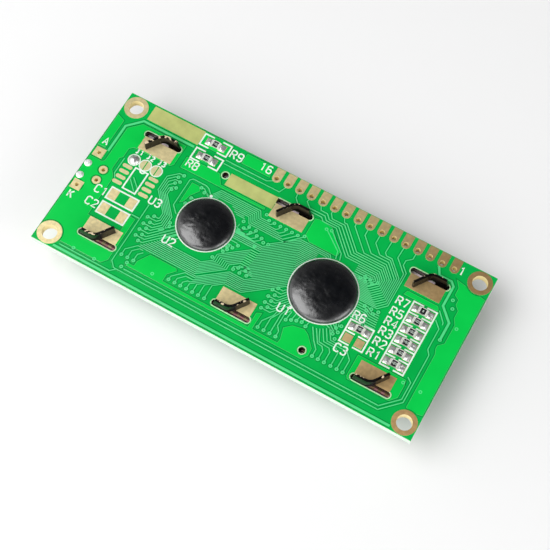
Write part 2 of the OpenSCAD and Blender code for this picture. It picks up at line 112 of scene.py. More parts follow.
class ModuleColours(bpy.types.PropertyGroup):
    """Colours of the module's finishes."""

    mask_copper: colour_prop("Mask over copper", "Solder mask where copper lies under it", (12, 200, 76))
    mask_board: colour_prop("Mask over board", "Solder mask over bare laminate", (8, 174, 74))
    # Paler than the mask over copper areas: mask over a track's copper, with a painted highlight on its ridge.
    mask_track: colour_prop("Mask over tracks", "Solder mask on top of a track", (84, 218, 136))
    # Darker beside tracks and round copper areas and vias: thicker mask there, and painted shade.
    mask_gutter: colour_prop("Mask in gutters", "Solder mask beside a track", (2, 146, 62))
    # Painted highlight: the paler colour on the slope round a copper area stands in for the light that the slope
    # catches.
    mask_edge_highlight: colour_prop("Mask on edges", "Solder mask on the slope round a copper area", (96, 222, 132))
    mask_rim: colour_prop("Mask rim", "Edge of the solder mask round a slot", (176, 226, 170))
    laminate: colour_prop("Laminate edge", "Cut edge of the laminate", (214, 240, 216))
    # Painted shade: the walls inside holes and slots get this dark colour for the shade in them.
    hole_wall_shade: colour_prop("Hole wall", "Drilled and routed walls inside the board", (52, 40, 26))
    land: colour_prop("Land", "Gold-plated land in the light", (232, 216, 162))
    # Painted shade: the darker colour at the far end of the lands stands in for their darker reflection there.
    land_shaded: colour_prop("Land, far end", "Gold-plated land at the darker end", (168, 136, 90))
    plate: colour_prop("Masked plate", "Bare plate under clear mask", (184, 191, 116))
    ink: colour_prop("Legend ink", "White legend ink", (226, 240, 228))
    epoxy: colour_prop("Epoxy", "Black sealing epoxy", (7, 9, 13))
    solder: colour_prop("Solder", "Tin solder", (206, 206, 204))
    steel_black: colour_prop("Blackened steel", "Painted bezel", (9, 8, 8))
    steel_bare: colour_prop("Bare steel", "Cut edge of the bezel", (226, 206, 172))
    # Bare steel painted near-white as a reflection: the cut edges inside the slots get this bright colour.
    steel_bright: colour_prop("Bright steel", "Cut edge of the bezel inside a slot", (255, 232, 238))
    rubber: colour_prop("Contact strip", "Silicone of the contact strips", (228, 158, 160))
    display: colour_prop("Display", "Unlit display behind its film", (26, 44, 128))
    display_cell: colour_prop("Display dots", "Unlit dots of the display", (66, 92, 176))
    housing: colour_prop("Backlight housing", "White moulded housing", (236, 236, 230))
    floor: colour_prop("Floor", "Studio floor", (243, 243, 243))


def sizes():
    return bpy.context.scene.module_sizes


def colours():
    return bpy.context.scene.module_colours


# ---- materials ----


# The places of a mix node's colour sockets
COLOUR_A, COLOUR_B, COLOUR_OUT = 6, 7, 2
SHADER_INPUTS = {
    "metallic": "Metallic",
    "coat": "Coat Weight",
    "coat_rough": "Coat Roughness",
    "alpha": "Alpha",
    "specular": "Specular IOR Level",
    "ior": "IOR",
}


class Finish:
    """A material built from nodes on object coordinates."""

    def __init__(self, name):
        self.material = bpy.data.materials.new(name)
        self.material.use_nodes = True
        self.tree = self.material.node_tree
        self.shader = self.tree.nodes["Principled BSDF"]
        self.coords = self.tree.nodes.new("ShaderNodeTexCoord").outputs["Object"]

    def node(self, kind, **values):
        made = self.tree.nodes.new(kind)
        for key, value in values.items():
            setattr(made, key, value)
        return made

    def link(self, source, target):
        self.tree.links.new(source, target)

    def noise(self, scale, detail=3, stretch=None, distortion=0):
        texture = self.node("ShaderNodeTexNoise")
        texture.inputs["Scale"].default_value = scale
        texture.inputs["Detail"].default_value = detail
        texture.inputs["Distortion"].default_value = distortion
        source = self.coords
        if stretch:
            mapping = self.node("ShaderNodeMapping")
            mapping.inputs["Scale"].default_value = stretch
            self.link(source, mapping.inputs["Vector"])
            source = mapping.outputs["Vector"]
        self.link(source, texture.inputs["Vector"])
        return texture.outputs["Fac"]

    def remap(self, value, low, high, to_low=0, to_high=1):
        node = self.node("ShaderNodeMapRange")
        for key, number in (("From Min", low), ("From Max", high), ("To Min", to_low), ("To Max", to_high)):
            node.inputs[key].default_value = number
        self.link(value, node.inputs["Value"])
        return node.outputs["Result"]

    def mix(self, factor, first, second):
        node = self.node("ShaderNodeMix", data_type="RGBA")
        self.link(factor, node.inputs["Factor"])
        for index, value in ((COLOUR_A, first), (COLOUR_B, second)):
            if isinstance(value, bpy.types.NodeSocket):
                self.link(value, node.inputs[index])
            else:
                node.inputs[index].default_value = (*value, 1)
        return node.outputs[COLOUR_OUT]

    def math(self, operation, first, second=0.0):
        node = self.node("ShaderNodeMath", operation=operation)
        for index, value in ((0, first), (1, second)):
            if isinstance(value, bpy.types.NodeSocket):
                self.link(value, node.inputs[index])
            else:
                node.inputs[index].default_value = value
        return node.outputs[0]

    def axis(self, letter, of=None):
        node = self.node("ShaderNodeSeparateXYZ")
        self.link(of or self.coords, node.inputs[0])
        return node.outputs[letter]

    def normal(self, letter):
        return self.axis(letter, self.node("ShaderNodeNewGeometry").outputs["Normal"])

    def colour(self, source):
        self.link(source, self.shader.inputs["Base Color"])

    def roughness(self, value, low, high):
        self.link(self.remap(value, 0.3, 0.7, low, high), self.shader.inputs["Roughness"])

    def bump(self, value, strength, distance):
        node = self.node("ShaderNodeBump")
        node.inputs["Strength"].default_value = strength
        node.inputs["Distance"].default_value = distance
        self.link(value, node.inputs["Height"])
        self.link(node.outputs["Normal"], self.shader.inputs["Normal"])

    def set(self, **values):
        for key, value in values.items():
            self.shader.inputs[SHADER_INPUTS[key]].default_value = value
        return self


FINE = 0.01 * MM


def shade(base, factor):
    """The same colour, lighter or darker."""
    return tuple(min(1.0, part * factor) for part in base)


def varied(finish, patches, base, low, high):
    """A colour that wanders between two shares of base over the surface."""
    return finish.mix(finish.remap(patches, 0.3, 0.7), shade(base, low), shade(base, high))


def mottled(name, base, rough=(0.35, 0.5), spread=0.12, scale=900, grain=4000, bump=0.2, depth=FINE, **values):
    """A finish whose colour and gloss vary a little over the surface."""
    finish = Finish(name)
    patches = finish.noise(scale)
    finish.colour(varied(finish, patches, base, 1 - spread, 1 + spread))
    finish.roughness(patches, *rough)
    finish.bump(finish.noise(grain), bump, depth)
    return finish.set(**values).material


def mask_finish(name, low_colour, high_colour, low_z, high_z, highlight_colour=None):
    """Solder mask whose colour follows its height over the board, with a painted highlight colour on a slope when
    one is given.
    """
    finish = Finish(name)
    height = finish.remap(finish.axis("Z"), low_z, high_z)
    patches = finish.noise(160)
    # The low colour at the foot of a ridge is the gutter colour, partly painted shade.
    low = varied(finish, patches, low_colour, 0.93, 1.07)
    high = varied(finish, patches, high_colour, 0.95, 1.05)
    # A paler band on the slope: a painted highlight.
    if highlight_colour:
        high = finish.mix(finish.remap(height, 0.93, 0.99), highlight_colour, high)
    finish.colour(finish.mix(height, low, high))
    return mask_gloss(finish, patches)


def mask_gloss(finish, patches):
    """The gloss and faint ripple that all solder mask has."""
    finish.roughness(patches, 0.16, 0.22)
    finish.bump(finish.noise(1500, 2), 0.1, FINE)
    return finish.set(specular=0.4).material


def board_finish():
    """Green mask on both faces, pale laminate on the outer cut edges, and painted shade on the walls inside the
    holes and slots.
    """
    tint = colours()
    finish = Finish("solder_mask_board")
    patches = finish.noise(160)
    green = varied(finish, patches, tint.mask_board, 0.92, 1.08)
    layers = finish.noise(3000, 2, stretch=(0.05, 0.05, 4))
    edge = finish.mix(finish.remap(layers, 0.35, 0.65), shade(tint.laminate, 0.78), tint.laminate)
    inset = 0.05 * MM
    rim = finish.math(
        "MAXIMUM",
        finish.math("GREATER_THAN", finish.math("ABSOLUTE", finish.axis("X")), BOARD_HIGH.x - inset),
        finish.math("GREATER_THAN", finish.math("ABSOLUTE", finish.axis("Y")), BOARD_HIGH.y - inset),
    )
    # Walls inside the holes and slots are painted dark: painted shade.
    walls = finish.mix(rim, tint.hole_wall_shade, edge)
    facing = finish.math("GREATER_THAN", finish.math("ABSOLUTE", finish.normal("Z")), 0.5)
    finish.colour(finish.mix(facing, walls, green))
    return mask_gloss(finish, patches)


def gold_finish(name, near, far, spread=0.16):
    """Gold plating, with painted light: paler at the module's left end and at its near edge as a painted reflection
    and painted shade, and a painted highlight inside the barrels.
    """
    finish = Finish(name)
    along = finish.remap(finish.axis("X"), BOARD_LOW.x * 0.2, BOARD_HIGH.x * 0.9)
    across = finish.remap(finish.axis("Y"), BOARD_LOW.y * 0.8, BOARD_HIGH.y * 0.8)
    spots = finish.remap(finish.noise(1400, 5), 0.35, 0.65)
    tones = []
    # The paler left end and near edge and the darker far end and far edge are painted reflection and painted shade;
    # the spots are the plating's own mottle.
    for low, high in ((1.2 - spread * 1.6, 0.84 - spread), (1.2, 0.84)):
        lit_near_edge = finish.mix(along, shade(near, low), shade(far, low * 1.1))
        shaded_far_edge = finish.mix(along, shade(near, high), shade(far, high))
        tones.append(finish.mix(across, lit_near_edge, shaded_far_edge))
    face = finish.mix(spots, *tones)
    # Barrel walls take a lighter copy of the land colour: a painted highlight.
    wall = finish.math("LESS_THAN", finish.math("ABSOLUTE", finish.normal("Z")), 0.5)
    finish.colour(finish.mix(wall, face, shade(near, 1.15)))
    finish.roughness(finish.noise(800), 0.34, 0.55)
    finish.bump(finish.noise(3500, 3), 0.35, 2 * FINE)
    return finish.set(metallic=0.2, specular=0.4).material


def bezel_finish():
    """Black paint, with bare steel on the edges that were cut after painting; more bare colour on the far tabs at
    the left end as a painted reflection, and the cut edges inside the slots painted near-white as a reflection.
    """
    tint = colours()
    finish = Finish("blackened_steel")
    patches = finish.noise(700, 4)
    deep, pale = shade(tint.steel_black, 0.75), shade(tint.steel_black, 1.35)
    black = finish.mix(finish.remap(patches, 0.35, 0.65), deep, pale)
    up = finish.math("GREATER_THAN", finish.normal("Z"), 0.9)
    above = finish.math("GREATER_THAN", finish.axis("Z"), BOARD_LOW.z - 0.05 * MM)
    # Painted reflection: up-facing edges of the far tabs at the left end get more of the bare colour.
    reflection_leftward = finish.remap(finish.axis("X"), -20 * MM, -27 * MM, 0.0, 0.1)
    far_side = finish.math("GREATER_THAN", finish.axis("Y"), 0.0)
    wear_and_reflection = finish.math("ADD", finish.noise(1300, 2), finish.math("MULTIPLY", reflection_leftward, far_side))
    worn_and_reflecting = finish.math("GREATER_THAN", wear_and_reflection, 0.62)
    low_edge = finish.math("LESS_THAN", finish.axis("Z"), Z_TOP)
    # Bare colour: worn spots and the painted reflection on up-facing edges, and every up-facing edge inside the
    # slots.
    bare = finish.math("MULTIPLY", finish.math("MULTIPLY", up, above), finish.math("MAXIMUM", worn_and_reflecting, low_edge))
    # Up-facing edges below the board's top, inside the slots, take the bright colour: bare steel painted near-white
    # as a reflection.
    finish.colour(finish.mix(bare, black, finish.mix(low_edge, tint.steel_bare, tint.steel_bright)))
    finish.roughness(patches, 0.24, 0.36)
    finish.bump(finish.noise(2600, 3), 0.2, 2 * FINE)
    return finish.set(metallic=0.1, specular=0.35).material


def clear_finish(name, base, alpha, rough=0.08):
    """A clear or tinted plate."""
    finish = Finish(name)
    tone = finish.noise(120, 2)
    finish.colour(finish.mix(tone, shade(base, 0.96), shade(base, 1.04)))
    finish.roughness(finish.noise(300), rough, rough + 0.05)
    return finish.set(alpha=alpha, specular=0.5).material


def epoxy_finish():
    """Glossy black epoxy with a finely wrinkled skin."""
    tint = colours()
    finish = Finish("black_epoxy")
    skin = finish.noise(1500, 5, stretch=(1.0, 0.55, 1.0), distortion=0.6)
    finish.colour(varied(finish, skin, tint.epoxy, 0.6, 1.2))
    finish.roughness(finish.noise(500, 3), 0.2, 0.3)
    finish.bump(skin, 0.45, 4 * FINE)
    return finish.set(specular=0.9, ior=1.65).material


MATERIALS = {}


def material(name, maker):
    """A material by name, made once."""
    if name not in MATERIALS:
        MATERIALS[name] = maker()
    return MATERIALS[name]


def mottled_material(name, base, **values):
    """A mottled finish by name, made once."""
    return material(name, lambda: mottled(name, base, **values))


def dress(nodes, made):
    """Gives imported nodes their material."""
    for node in nodes:
        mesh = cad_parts[node].data
        mesh.materials.clear()
        mesh.materials.append(made)


# ---- geometry helpers ----


def islands(node):
    """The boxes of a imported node's separate solids, each as (lowest corner, highest corner)."""
    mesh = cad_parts[node].data
    places = {}
    keys = [places.setdefault(tuple(round(c * 1e7) for c in v.co), len(places)) for v in mesh.vertices]
    parent = list(range(len(places)))

    def root(key):
        while parent[key] != key:
            parent[key] = parent[parent[key]]
            key = parent[key]
        return key

    for face in mesh.polygons:
        first = root(keys[face.vertices[0]])
        for index in face.vertices[1:]:
            parent[root(keys[index])] = first
    boxes = {}
    for index, vertex in enumerate(mesh.vertices):
        boxes.setdefault(root(keys[index]), []).append(vertex.co.copy())
    found = []
    for points in boxes.values():
        low = Vector([min(p[k] for p in points) for k in range(3)])
        high = Vector([max(p[k] for p in points) for k in range(3)])
        found.append((low, high))
    return sorted(found, key=lambda pair: (round(pair[0].x, 6), round(pair[0].y, 6)))


def centre(pair):
    return (pair[0] + pair[1]) / 2


def piece(name, mesh, made=None, stands_for=()):
    """Hands a finished mesh to the frame as one piece."""
    if made:
        mesh.materials.clear()
        mesh.materials.append(made)
    obj = bpy.data.objects.new(name, mesh)
    bpy.context.scene.collection.objects.link(obj)
    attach(obj, BODY)
    if stands_for:
        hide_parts(*stands_for)
    return obj


def mesh_from(name, verts, faces, smooth=False):
    mesh = bpy.data.meshes.new(name)
    mesh.from_pydata([tuple(v) for v in verts], [], faces)
    mesh.validate()
    if smooth:
        for polygon in mesh.polygons:
            polygon.use_smooth = True
    mesh.update()
    return mesh


def offset(points, distance, closed=False):
    """The same line moved to its left by distance, with mitred corners."""
    count = len(points)
    moved = []
    for index in range(count):
        here = Vector(points[index])
        back = Vector(points[index - 1]) if closed or index else None
        ahead = Vector(points[(index + 1) % count]) if closed or index < count - 1 else None
        sides = []
        if back is not None:
            sides.append((here - back).normalized())
        if ahead is not None:
            sides.append((ahead - here).normalized())
        normals = [Vector((-side.y, side.x)) for side in sides]
        if len(normals) == 1:
            moved.append(here + normals[0] * distance)
            continue
        bisector = normals[0] + normals[1]
        if bisector.length < 0.1:
            moved.append(here + normals[0] * distance)
            continue
        bisector.normalize()
        moved.append(here + bisector * (distance / max(0.35, bisector.dot(normals[0]))))
    return [tuple(p) for p in moved]


def board_openings():
    """Outlines of the holes and slots in the board's component side, in metres."""
    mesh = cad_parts["circuit_board"].data
    key_of = [tuple(round(c * 1e7) for c in v.co[:2]) for v in mesh.vertices]
    place_of = {key: (v.co.x, v.co.y) for key, v in zip(key_of, mesh.vertices)}
    after = {}
    for polygon in mesh.polygons:
        if polygon.normal.z < 0.9 or mesh.vertices[polygon.vertices[0]].co.z < Z_TOP - 0.01 * MM:
            continue
        keys = [key_of[index] for index in polygon.vertices]
        for first, second in zip(keys, keys[1:] + keys[:1]):
            if after.get(second) and first in after[second]:
                after[second].remove(first)
            else:
                after.setdefault(first, []).append(second)
    loops = []
    while any(after.values()):
        start = next(key for key, ends in after.items() if ends)
        loop, here = [], start
        while after.get(here):
            loop.append(place_of[here])
            here = after[here].pop()
        loops.append(loop)
    return [loop for loop in loops if area_of(loop) < 0]


def area_of(loop):
    return sum(a[0] * b[1] - b[0] * a[1] for a, b in zip(loop, loop[1:] + loop[:1])) / 2


def add_plate(verts, faces, loop, low, high, slope):
    """A flat plate with sloping sides on the outline loop, in metres."""
    if area_of(loop) < 0:
        loop = loop[::-1]
    top = offset(loop, slope, closed=True)
    start = len(verts)
    count = len(loop)
    verts.extend((x, y, low) for x, y in loop)
    verts.extend((x, y, high) for x, y in top)
    for k in range(count):
        after = (k + 1) % count
        faces.append((start + k, start + after, start + count + after, start + count + k))
    for level, outline, shift in ((0, loop, 0), (1, top, count)):
        for triangle in geometry.tessellate_polygon([[Vector((x, y, 0)) for x, y in outline]]):
            a, b, c = (Vector(outline[i]) for i in triangle)
            upward = (b - a).cross(c - a) > 0
            order = triangle if upward == bool(level) else triangle[::-1]
            faces.append(tuple(start + shift + i for i in order))


def cut(mesh, loops):
    """The mesh with an opening through it at each outline."""
    verts, faces = [], []
    for loop in loops:
        add_plate(verts, faces, loop, Z_TOP - 1 * MM, Z_TOP + 1 * MM, 0.0)
    cutter = bpy.data.objects.new("cutter", mesh_from("cutter", verts, faces))
    blank = bpy.data.objects.new("blank", mesh)
    for obj in (cutter, blank):
        bpy.context.scene.collection.objects.link(obj)
    modifier = blank.modifiers.new("Cut", "BOOLEAN")
    modifier.operation = "DIFFERENCE"
    modifier.solver = "EXACT"
    modifier.object = cutter
    made = bpy.data.meshes.new_from_object(blank.evaluated_get(bpy.context.evaluated_depsgraph_get()))
    made.name = mesh.name
    bpy.data.objects.remove(blank)
    bpy.data.objects.remove(cutter)
    return made


def widened(loop, distance):
    """An outline moved outward."""
    if area_of(loop) < 0:
        loop = loop[::-1]
    return offset(loop, -distance, closed=True)


def round_outline(x, y, radius, count=40):
    turns = [2 * math.pi * k / count for k in range(count)]
    return [(x + radius * math.cos(turn), y + radius * math.sin(turn)) for turn in turns]


def arc(centre_at, radius, start, end, steps=8):
    """Points on an arc, in degrees."""
    return [
        (
            centre_at[0] + radius * math.cos(math.radians(start + (end - start) * k / steps)),
            centre_at[1] + radius * math.sin(math.radians(start + (end - start) * k / steps)),
        )
        for k in range(steps + 1)
    ]


# ---- geometry node trees ----


def new_tree(name, sockets):
    """A geometry node tree with named inputs. Returns it with its input and output nodes."""
    tree = bpy.data.node_groups.new(name, "GeometryNodeTree")
    tree.interface.new_socket("Geometry", in_out="INPUT", socket_type="NodeSocketGeometry")
    for label, kind in sockets:
        tree.interface.new_socket(label, in_out="INPUT", socket_type=kind)
    tree.interface.new_socket("Geometry", in_out="OUTPUT", socket_type="NodeSocketGeometry")
    return tree, tree.nodes.new("NodeGroupInput"), tree.nodes.new("NodeGroupOutput")


def end_tree(tree, group_in, group_out, geometry_socket):
    """Ends a tree in Realize Instances and Set Material."""
    realize = tree.nodes.new("GeometryNodeRealizeInstances")
    paint = tree.nodes.new("GeometryNodeSetMaterial")
    tree.links.new(geometry_socket, realize.inputs[0])
    tree.links.new(realize.outputs[0], paint.inputs["Geometry"])
    tree.links.new(group_in.outputs["Material"], paint.inputs["Material"])
    tree.links.new(paint.outputs[0], group_out.inputs[0])


def ribbon_tree():
    """Sweeps a section with sloping sides along every polyline."""
    tree, group_in, group_out = new_tree(
        "Ribbon",
        (
            ("Top Width", "NodeSocketFloat"),
            ("Foot Width", "NodeSocketFloat"),
            ("Height", "NodeSocketFloat"),
            ("Material", "NodeSocketMaterial"),
        ),
    )
    curve = tree.nodes.new("GeometryNodeMeshToCurve")
    upright = tree.nodes.new("GeometryNodeSetCurveNormal")
    upright.mode = "Z_UP"
    section = tree.nodes.new("GeometryNodeCurvePrimitiveQuadrilateral")
    section.mode = "TRAPEZOID"
    sweep = tree.nodes.new("GeometryNodeCurveToMesh")
    flat = tree.nodes.new("GeometryNodeSetShadeSmooth")
    link = tree.links.new
    link(group_in.outputs["Geometry"], curve.inputs[0])
    link(curve.outputs[0], upright.inputs["Curve"])
    link(group_in.outputs["Height"], section.inputs["Height"])
    link(group_in.outputs["Top Width"], section.inputs["Bottom Width"])
    link(group_in.outputs["Foot Width"], section.inputs["Top Width"])
    section.inputs["Offset"].default_value = 0
    link(upright.outputs[0], sweep.inputs["Curve"])
    link(section.outputs[0], sweep.inputs["Profile Curve"])
    sweep.inputs["Fill Caps"].default_value = True
    link(sweep.outputs[0], flat.inputs["Geometry"])
    flat.inputs["Shade Smooth"].default_value = False
    end_tree(tree, group_in, group_out, flat.outputs[0])
    return tree


def scatter_tree():
    """Puts a copy of one object's mesh on every point."""
    tree, group_in, group_out = new_tree(
        "Copies on points", (("Copied", "NodeSocketObject"), ("Material", "NodeSocketMaterial"))
    )
    info = tree.nodes.new("GeometryNodeObjectInfo")
    place = tree.nodes.new("GeometryNodeInstanceOnPoints")
    tree.links.new(group_in.outputs["Copied"], info.inputs["Object"])
    tree.links.new(group_in.outputs["Geometry"], place.inputs["Points"])
    tree.links.new(info.outputs["Geometry"], place.inputs["Instance"])
    end_tree(tree, group_in, group_out, place.outputs[0])
    return tree


def grown(name, source, tree, inputs):
    """The plain mesh that a tree makes from a source mesh. inputs is {socket name: value}."""
    obj = bpy.data.objects.new(name, source)
    bpy.context.scene.collection.objects.link(obj)
    modifier = obj.modifiers.new("Tree", "NODES")
    modifier.node_group = tree
    for item in tree.interface.items_tree:
        if item.in_out == "INPUT" and item.name in inputs:
            modifier[item.identifier] = inputs[item.name]
    evaluated = obj.evaluated_get(bpy.context.evaluated_depsgraph_get())
    mesh = bpy.data.meshes.new_from_object(evaluated)
    mesh.name = name
    bpy.data.objects.remove(obj)
    return mesh


def ribbons(name, lines, width, foot, low, high, made):
    """Every line, in millimetres on the board, as a ribbon from height low to high over the board."""
    verts, edges = [], []
    for line in lines:
        start = len(verts)
        verts.extend((x * MM, y * MM, Z_TOP + (low + high) / 2) for x, y in line)
        edges.extend((start + k, start + k + 1) for k in range(len(line) - 1))
    source = bpy.data.meshes.new(name)
    source.from_pydata(verts, edges, [])
    inputs = {"Top Width": width, "Foot Width": foot, "Height": high - low, "Material": made}
    return grown(name, source, TREES["ribbon"], inputs)


def copies(name, points, pattern, made):
    """A copy of the pattern mesh at each point, in metres."""
    holder = bpy.data.objects.new(name + "_pattern", pattern)
    bpy.context.scene.collection.objects.link(holder)
    source = bpy.data.meshes.new(name)
    source.from_pydata([tuple(p) for p in points], [], [])
    mesh = grown(name, source, TREES["scatter"], {"Copied": holder, "Material": made})
    bpy.data.objects.remove(holder)
    return mesh


TREES = {}


# ---- the board's routing, in millimetres from the middle of the board ----


def box_mm(node):
    low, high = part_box(node)
    return low / MM, high / MM


def cap_disc(node):
    """Centre and radius of a sealed chip, in millimetres."""
    low, high = box_mm(node)
    return (low.x + high.x) / 2, (low.y + high.y) / 2, (high.x - low.x) / 2


LARGE = cap_disc("epoxy_cap_large")
SMALL = cap_disc("epoxy_cap_small")
CAP_MARGIN = 0.15


def rim_x(disc, y, side):
    """Where a horizontal line at y meets a chip's rim."""
    x0, y0, r = disc
    reach = (r + CAP_MARGIN) ** 2 - (y - y0) ** 2
    return x0 + side * math.sqrt(max(reach, 0.0))


def outside(point, disc):
    return math.hypot(point[0] - disc[0], point[1] - disc[1]) > disc[2] + CAP_MARGIN


def trimmed(line):
    """The part of a line up to the first chip that it meets, walking from its first point."""
    kept = [line[0]]
    for a, b in zip(line, line[1:]):
        steps = max(2, int(math.dist(a, b) / 0.2))
        for k in range(1, steps + 1):
            here = (a[0] + (b[0] - a[0]) * k / steps, a[1] + (b[1] - a[1]) * k / steps)
            if not (outside(here, LARGE) and outside(here, SMALL)):
                kept.append(here)
                return kept
        kept.append(b)
    return kept


def pad_x(number):
    """Middle of a header land, counted from the land that is marked 1."""
    return HEADER[len(HEADER) - number]


HEADER = [centre(pair).x / MM for pair in islands("board_header_lands")]
PAD_FOOT = 14.9


def fan_out():
    """Tracks from the header that turn down beside the large chip and end at its right rim."""
    lines = []
    lanes = (
        (14, 7.75, [(-0.8, 13.9), (0.3, 12.75), (5.4, 12.75), (6.0, 12.1), (8.9, 12.1)]),
        (13, 8.2, [(1.4, 14.3), (2.5, 13.3), (5.8, 13.3), (6.5, 12.55), (9.2, 12.55)]),
        (12, 8.7, [(4.6, 13.95), (6.0, 13.95), (6.9, 13.0), (9.6, 13.0)]),
        (11, 9.2, [(6.6, 14.4), (7.3, 13.45), (10.0, 13.45)]),
        (10, 9.65, [(9.7, 13.9), (10.3, 13.9)]),
        (9, 10.15, [(11.8, 14.2)]),
        (8, 10.75, [(14.3, 13.5)]),
        (7, 11.3, [(16.8, 13.1)]),
        (6, 11.75, [(19.3, 12.25)]),
    )
    outer_x, pitch = 24.65, 0.36
    first_end, end_step = 1.4, 0.3
    count = len(lanes)
    for index, (pad, level, start) in enumerate(reversed(lanes)):
        order = index + 2
        x = outer_x - pitch * order
        turn = x - (21.2 - 0.12 * order)
        drop = start[-1][1] - level
        end_y = first_end + end_step * order
        line = [(pad_x(pad), PAD_FOOT), *start, (start[-1][0] + drop, level)]
        line += [(x - turn, level), (x, level - turn)]
        line += [(x, end_y + 1.5), (x - 1.5, end_y), (rim_x(LARGE, end_y, 1), end_y)]
        lines.append(line)
    for index, level in enumerate((7.35, 6.9, 6.5, 6.1)):
        order = count + 2 + index
        x = outer_x - pitch * order
        turn = max(0.4, x - (21.2 - 0.12 * order))
        end_y = first_end + end_step * order
        start_x = rim_x(LARGE, min(level, 5.6), 1) + 0.4
        line = [(start_x, level), (x - turn, level), (x, level - turn)]
        lines.append(line + [(x, end_y + 1.1), (x - 1.1, end_y), (rim_x(LARGE, end_y, 1), end_y)])
    outer = (
        (5, 1.7, [(21.8, 12.5), (24.29, 10.0), (24.29, 3.2), (22.8, 1.7)]),
        (4, 1.4, [(24.4, 13.6), (23.4, 12.7), (23.4, 11.6), (24.65, 10.4), (24.65, 2.9), (23.15, 1.4)]),
    )
    for pad, end_y, line in outer:
        lines.append([(pad_x(pad), PAD_FOOT), *line, (rim_x(LARGE, end_y, 1), end_y)])
    return lines


# Vias that tracks start from
VIA_ROW = -12.65
LEFT_VIAS = (
    *((-22.2, -2.9), (-23.2, -3.6), (-22.2, -4.4), (-23.2, -5.15), (-22.2, -5.8), (-23.2, -6.55)),
    *((-22.2, -7.3), (-23.2, -7.95), (-22.2, -8.7)),
)
BELOW_CHIP_VIAS = ((9.6, -8.85), (10.5, -8.4), (11.4, -8.05), (12.4, -7.8), (13.4, -8.2))
BESIDE_CHIP_VIAS = (
    *((5.4, -4.1), (4.6, -4.85), (5.5, -5.6), (4.55, -6.35)),
    *((5.5, -6.95), (4.6, -7.7), (5.5, -8.35), (4.55, -9.05)),
)
SMALL_CHIP_VIAS = ((-5.4, -0.3), (-6.1, -1.2), (-6.8, -2.0), (-7.3, -2.7))
UPPER_VIAS = ((-6.3, 3.4), (-5.5, 4.1), (-4.7, 3.2), (-4.0, 4.05), (-3.35, 3.2), (-2.3, 3.2))

# The bus between the two chips: its slope, the height between its lines, and where its first line bends
BUS_SLOPE = 0.781
BUS_STEP = 0.438
BUS_START = (1.9, 4.8)


def bus_y(k, x, shift=0.0):
    """Height of the bus's line k at x. shift moves the line to the left."""
    return BUS_START[1] + BUS_SLOPE * (x + shift - BUS_START[0]) - BUS_STEP * k


def bus_x(k, y, shift=0.0):
    return (y - BUS_START[1] + BUS_STEP * k) / BUS_SLOPE + BUS_START[0] - shift


def bus_ends(k, x, level):
    """How the bus's lowest lines leave the row of vias and reach their slope, which ends at x, level."""
    row = VIA_ROW
    starts = {
        19: ([(-23.4, row), (-23.4, -11.4), (-21.6, -9.6)], -9.6),
        20: ([(-13.15, row), (-13.1, -11.9), (-11.15, -9.95)], -9.95),
        21: ([(-11.85, row), (-11.85, -11.7), (-10.65, -10.5)], -10.5),
        22: ([(-10.6, row), (-10.6, -11.85), (-9.9, -11.15)], -11.15),
    }
    if k in starts:
        points, low = starts[k]
        return points + [(x - (level - low) / BUS_SLOPE, low)]
    via_x = -9.35 + 1.28 * (k - 23)
    return [(via_x, row), (via_x, level - (x - via_x) * BUS_SLOPE)]


def chip_bus():
    """The wide bus that runs from the large chip's left side down to the small chip."""
    lines = []
    jog = 1.6
    landings = ((-4.0, -4.9), (-3.1, -4.2), (-2.4, -5.0), (-1.65, -4.1), (-1.3, -4.4), (-1.0, -4.85))
    rim_level = 5.9
    for k in range(27):
        turn_x = min(4.3 + 0.1 * k, 6.4)
        turn_y = bus_y(k, turn_x)
        if turn_y > rim_level:
            right = [(turn_x, turn_y), (10.5 - 0.3 * k, turn_y), (11.6, 5.2)]
        else:
            right = [(turn_x, turn_y), (8.5, turn_y)]
        if k == 0:
            left = [(-0.6, bus_y(0, -0.6))]
        elif k < 5:
            y = 2.15 - 0.36 * k
            left = [(-7.3, y), (bus_x(k, y), y)]
        elif k < 13:
            j = k - 5
            jog_y = bus_y(k, -1.0 - 0.05 * k)
            x = -7.9 + 0.43 * j
            top = bus_y(k, x, jog)
            low = -5.2 - 0.06 * j
            level = -6.65 - 0.37 * j
            run = (low - level) / BUS_SLOPE
            left = [(level - 12.1, level), (x - run, level), (x, low), (x, top)]
            left += [(bus_x(k, jog_y) - jog, jog_y), (bus_x(k, jog_y), jog_y)]
        elif k < 19:
            via = landings[k - 13]
            y = -3.2 - 0.26 * (k - 13)
            left = [via, (via[0], min(y, via[1] + 0.5)), (bus_x(k, y), y)]
        else:
            level = -5.75 - 0.36 * (k - 19)
            x = -4.1 + 0.06 * (k - 19)
            left = [*bus_ends(k, x, level), (x, level), (bus_x(k, level), level)]
        lines.append(trimmed(left + right))
    return lines


def upper_bus():
    """Tracks over the small chip that step down and run to the vias above the large one."""
    lines = []
    ends = (
        [(-3.3, 6.9), (-2.9, 7.15)],
        [(-2.3, 6.53), (-1.75, 7.1)],
        [(-0.9, 6.15), (-0.45, 6.6), (-0.45, 7.1)],
        [(0.0, 5.78), (0.8, 6.55), (0.8, 7.1)],
        [(0.6, 5.4), (2.05, 6.95)],
        [(1.2, 5.03), (3.3, 7.1)],
        [(1.7, 4.65), (4.5, 7.45)],
    )
    for k, end in enumerate(ends):
        y = 8.15 - 0.37 * k
        x = -5.3 - 0.22 * k
        if k < 5:
            start = [(-14.9 + 0.1 * k, y - 1.5), (-13.9 + 0.1 * k, y)]
        else:
            start = [(-10.4 + 0.6 * (k - 5), y)]
        lines.append(start + [(x, y), (x + 0.75, end[0][1])] + end)
    for k in range(2):
        lines.append([(-9.6 + 0.6 * k, 5.55 - 0.35 * k), (-7.4 + 0.3 * k, 5.55 - 0.35 * k)])
    for k, (x, y) in enumerate(((-7.4, 3.7), *UPPER_VIAS)):
        level = 2.95 - 0.16 * k
        foot = y - 0.45
        lines.append([(x, y), (x, foot), (x - (foot - level) / 0.84, level), (-7.35, level)])
    return lines


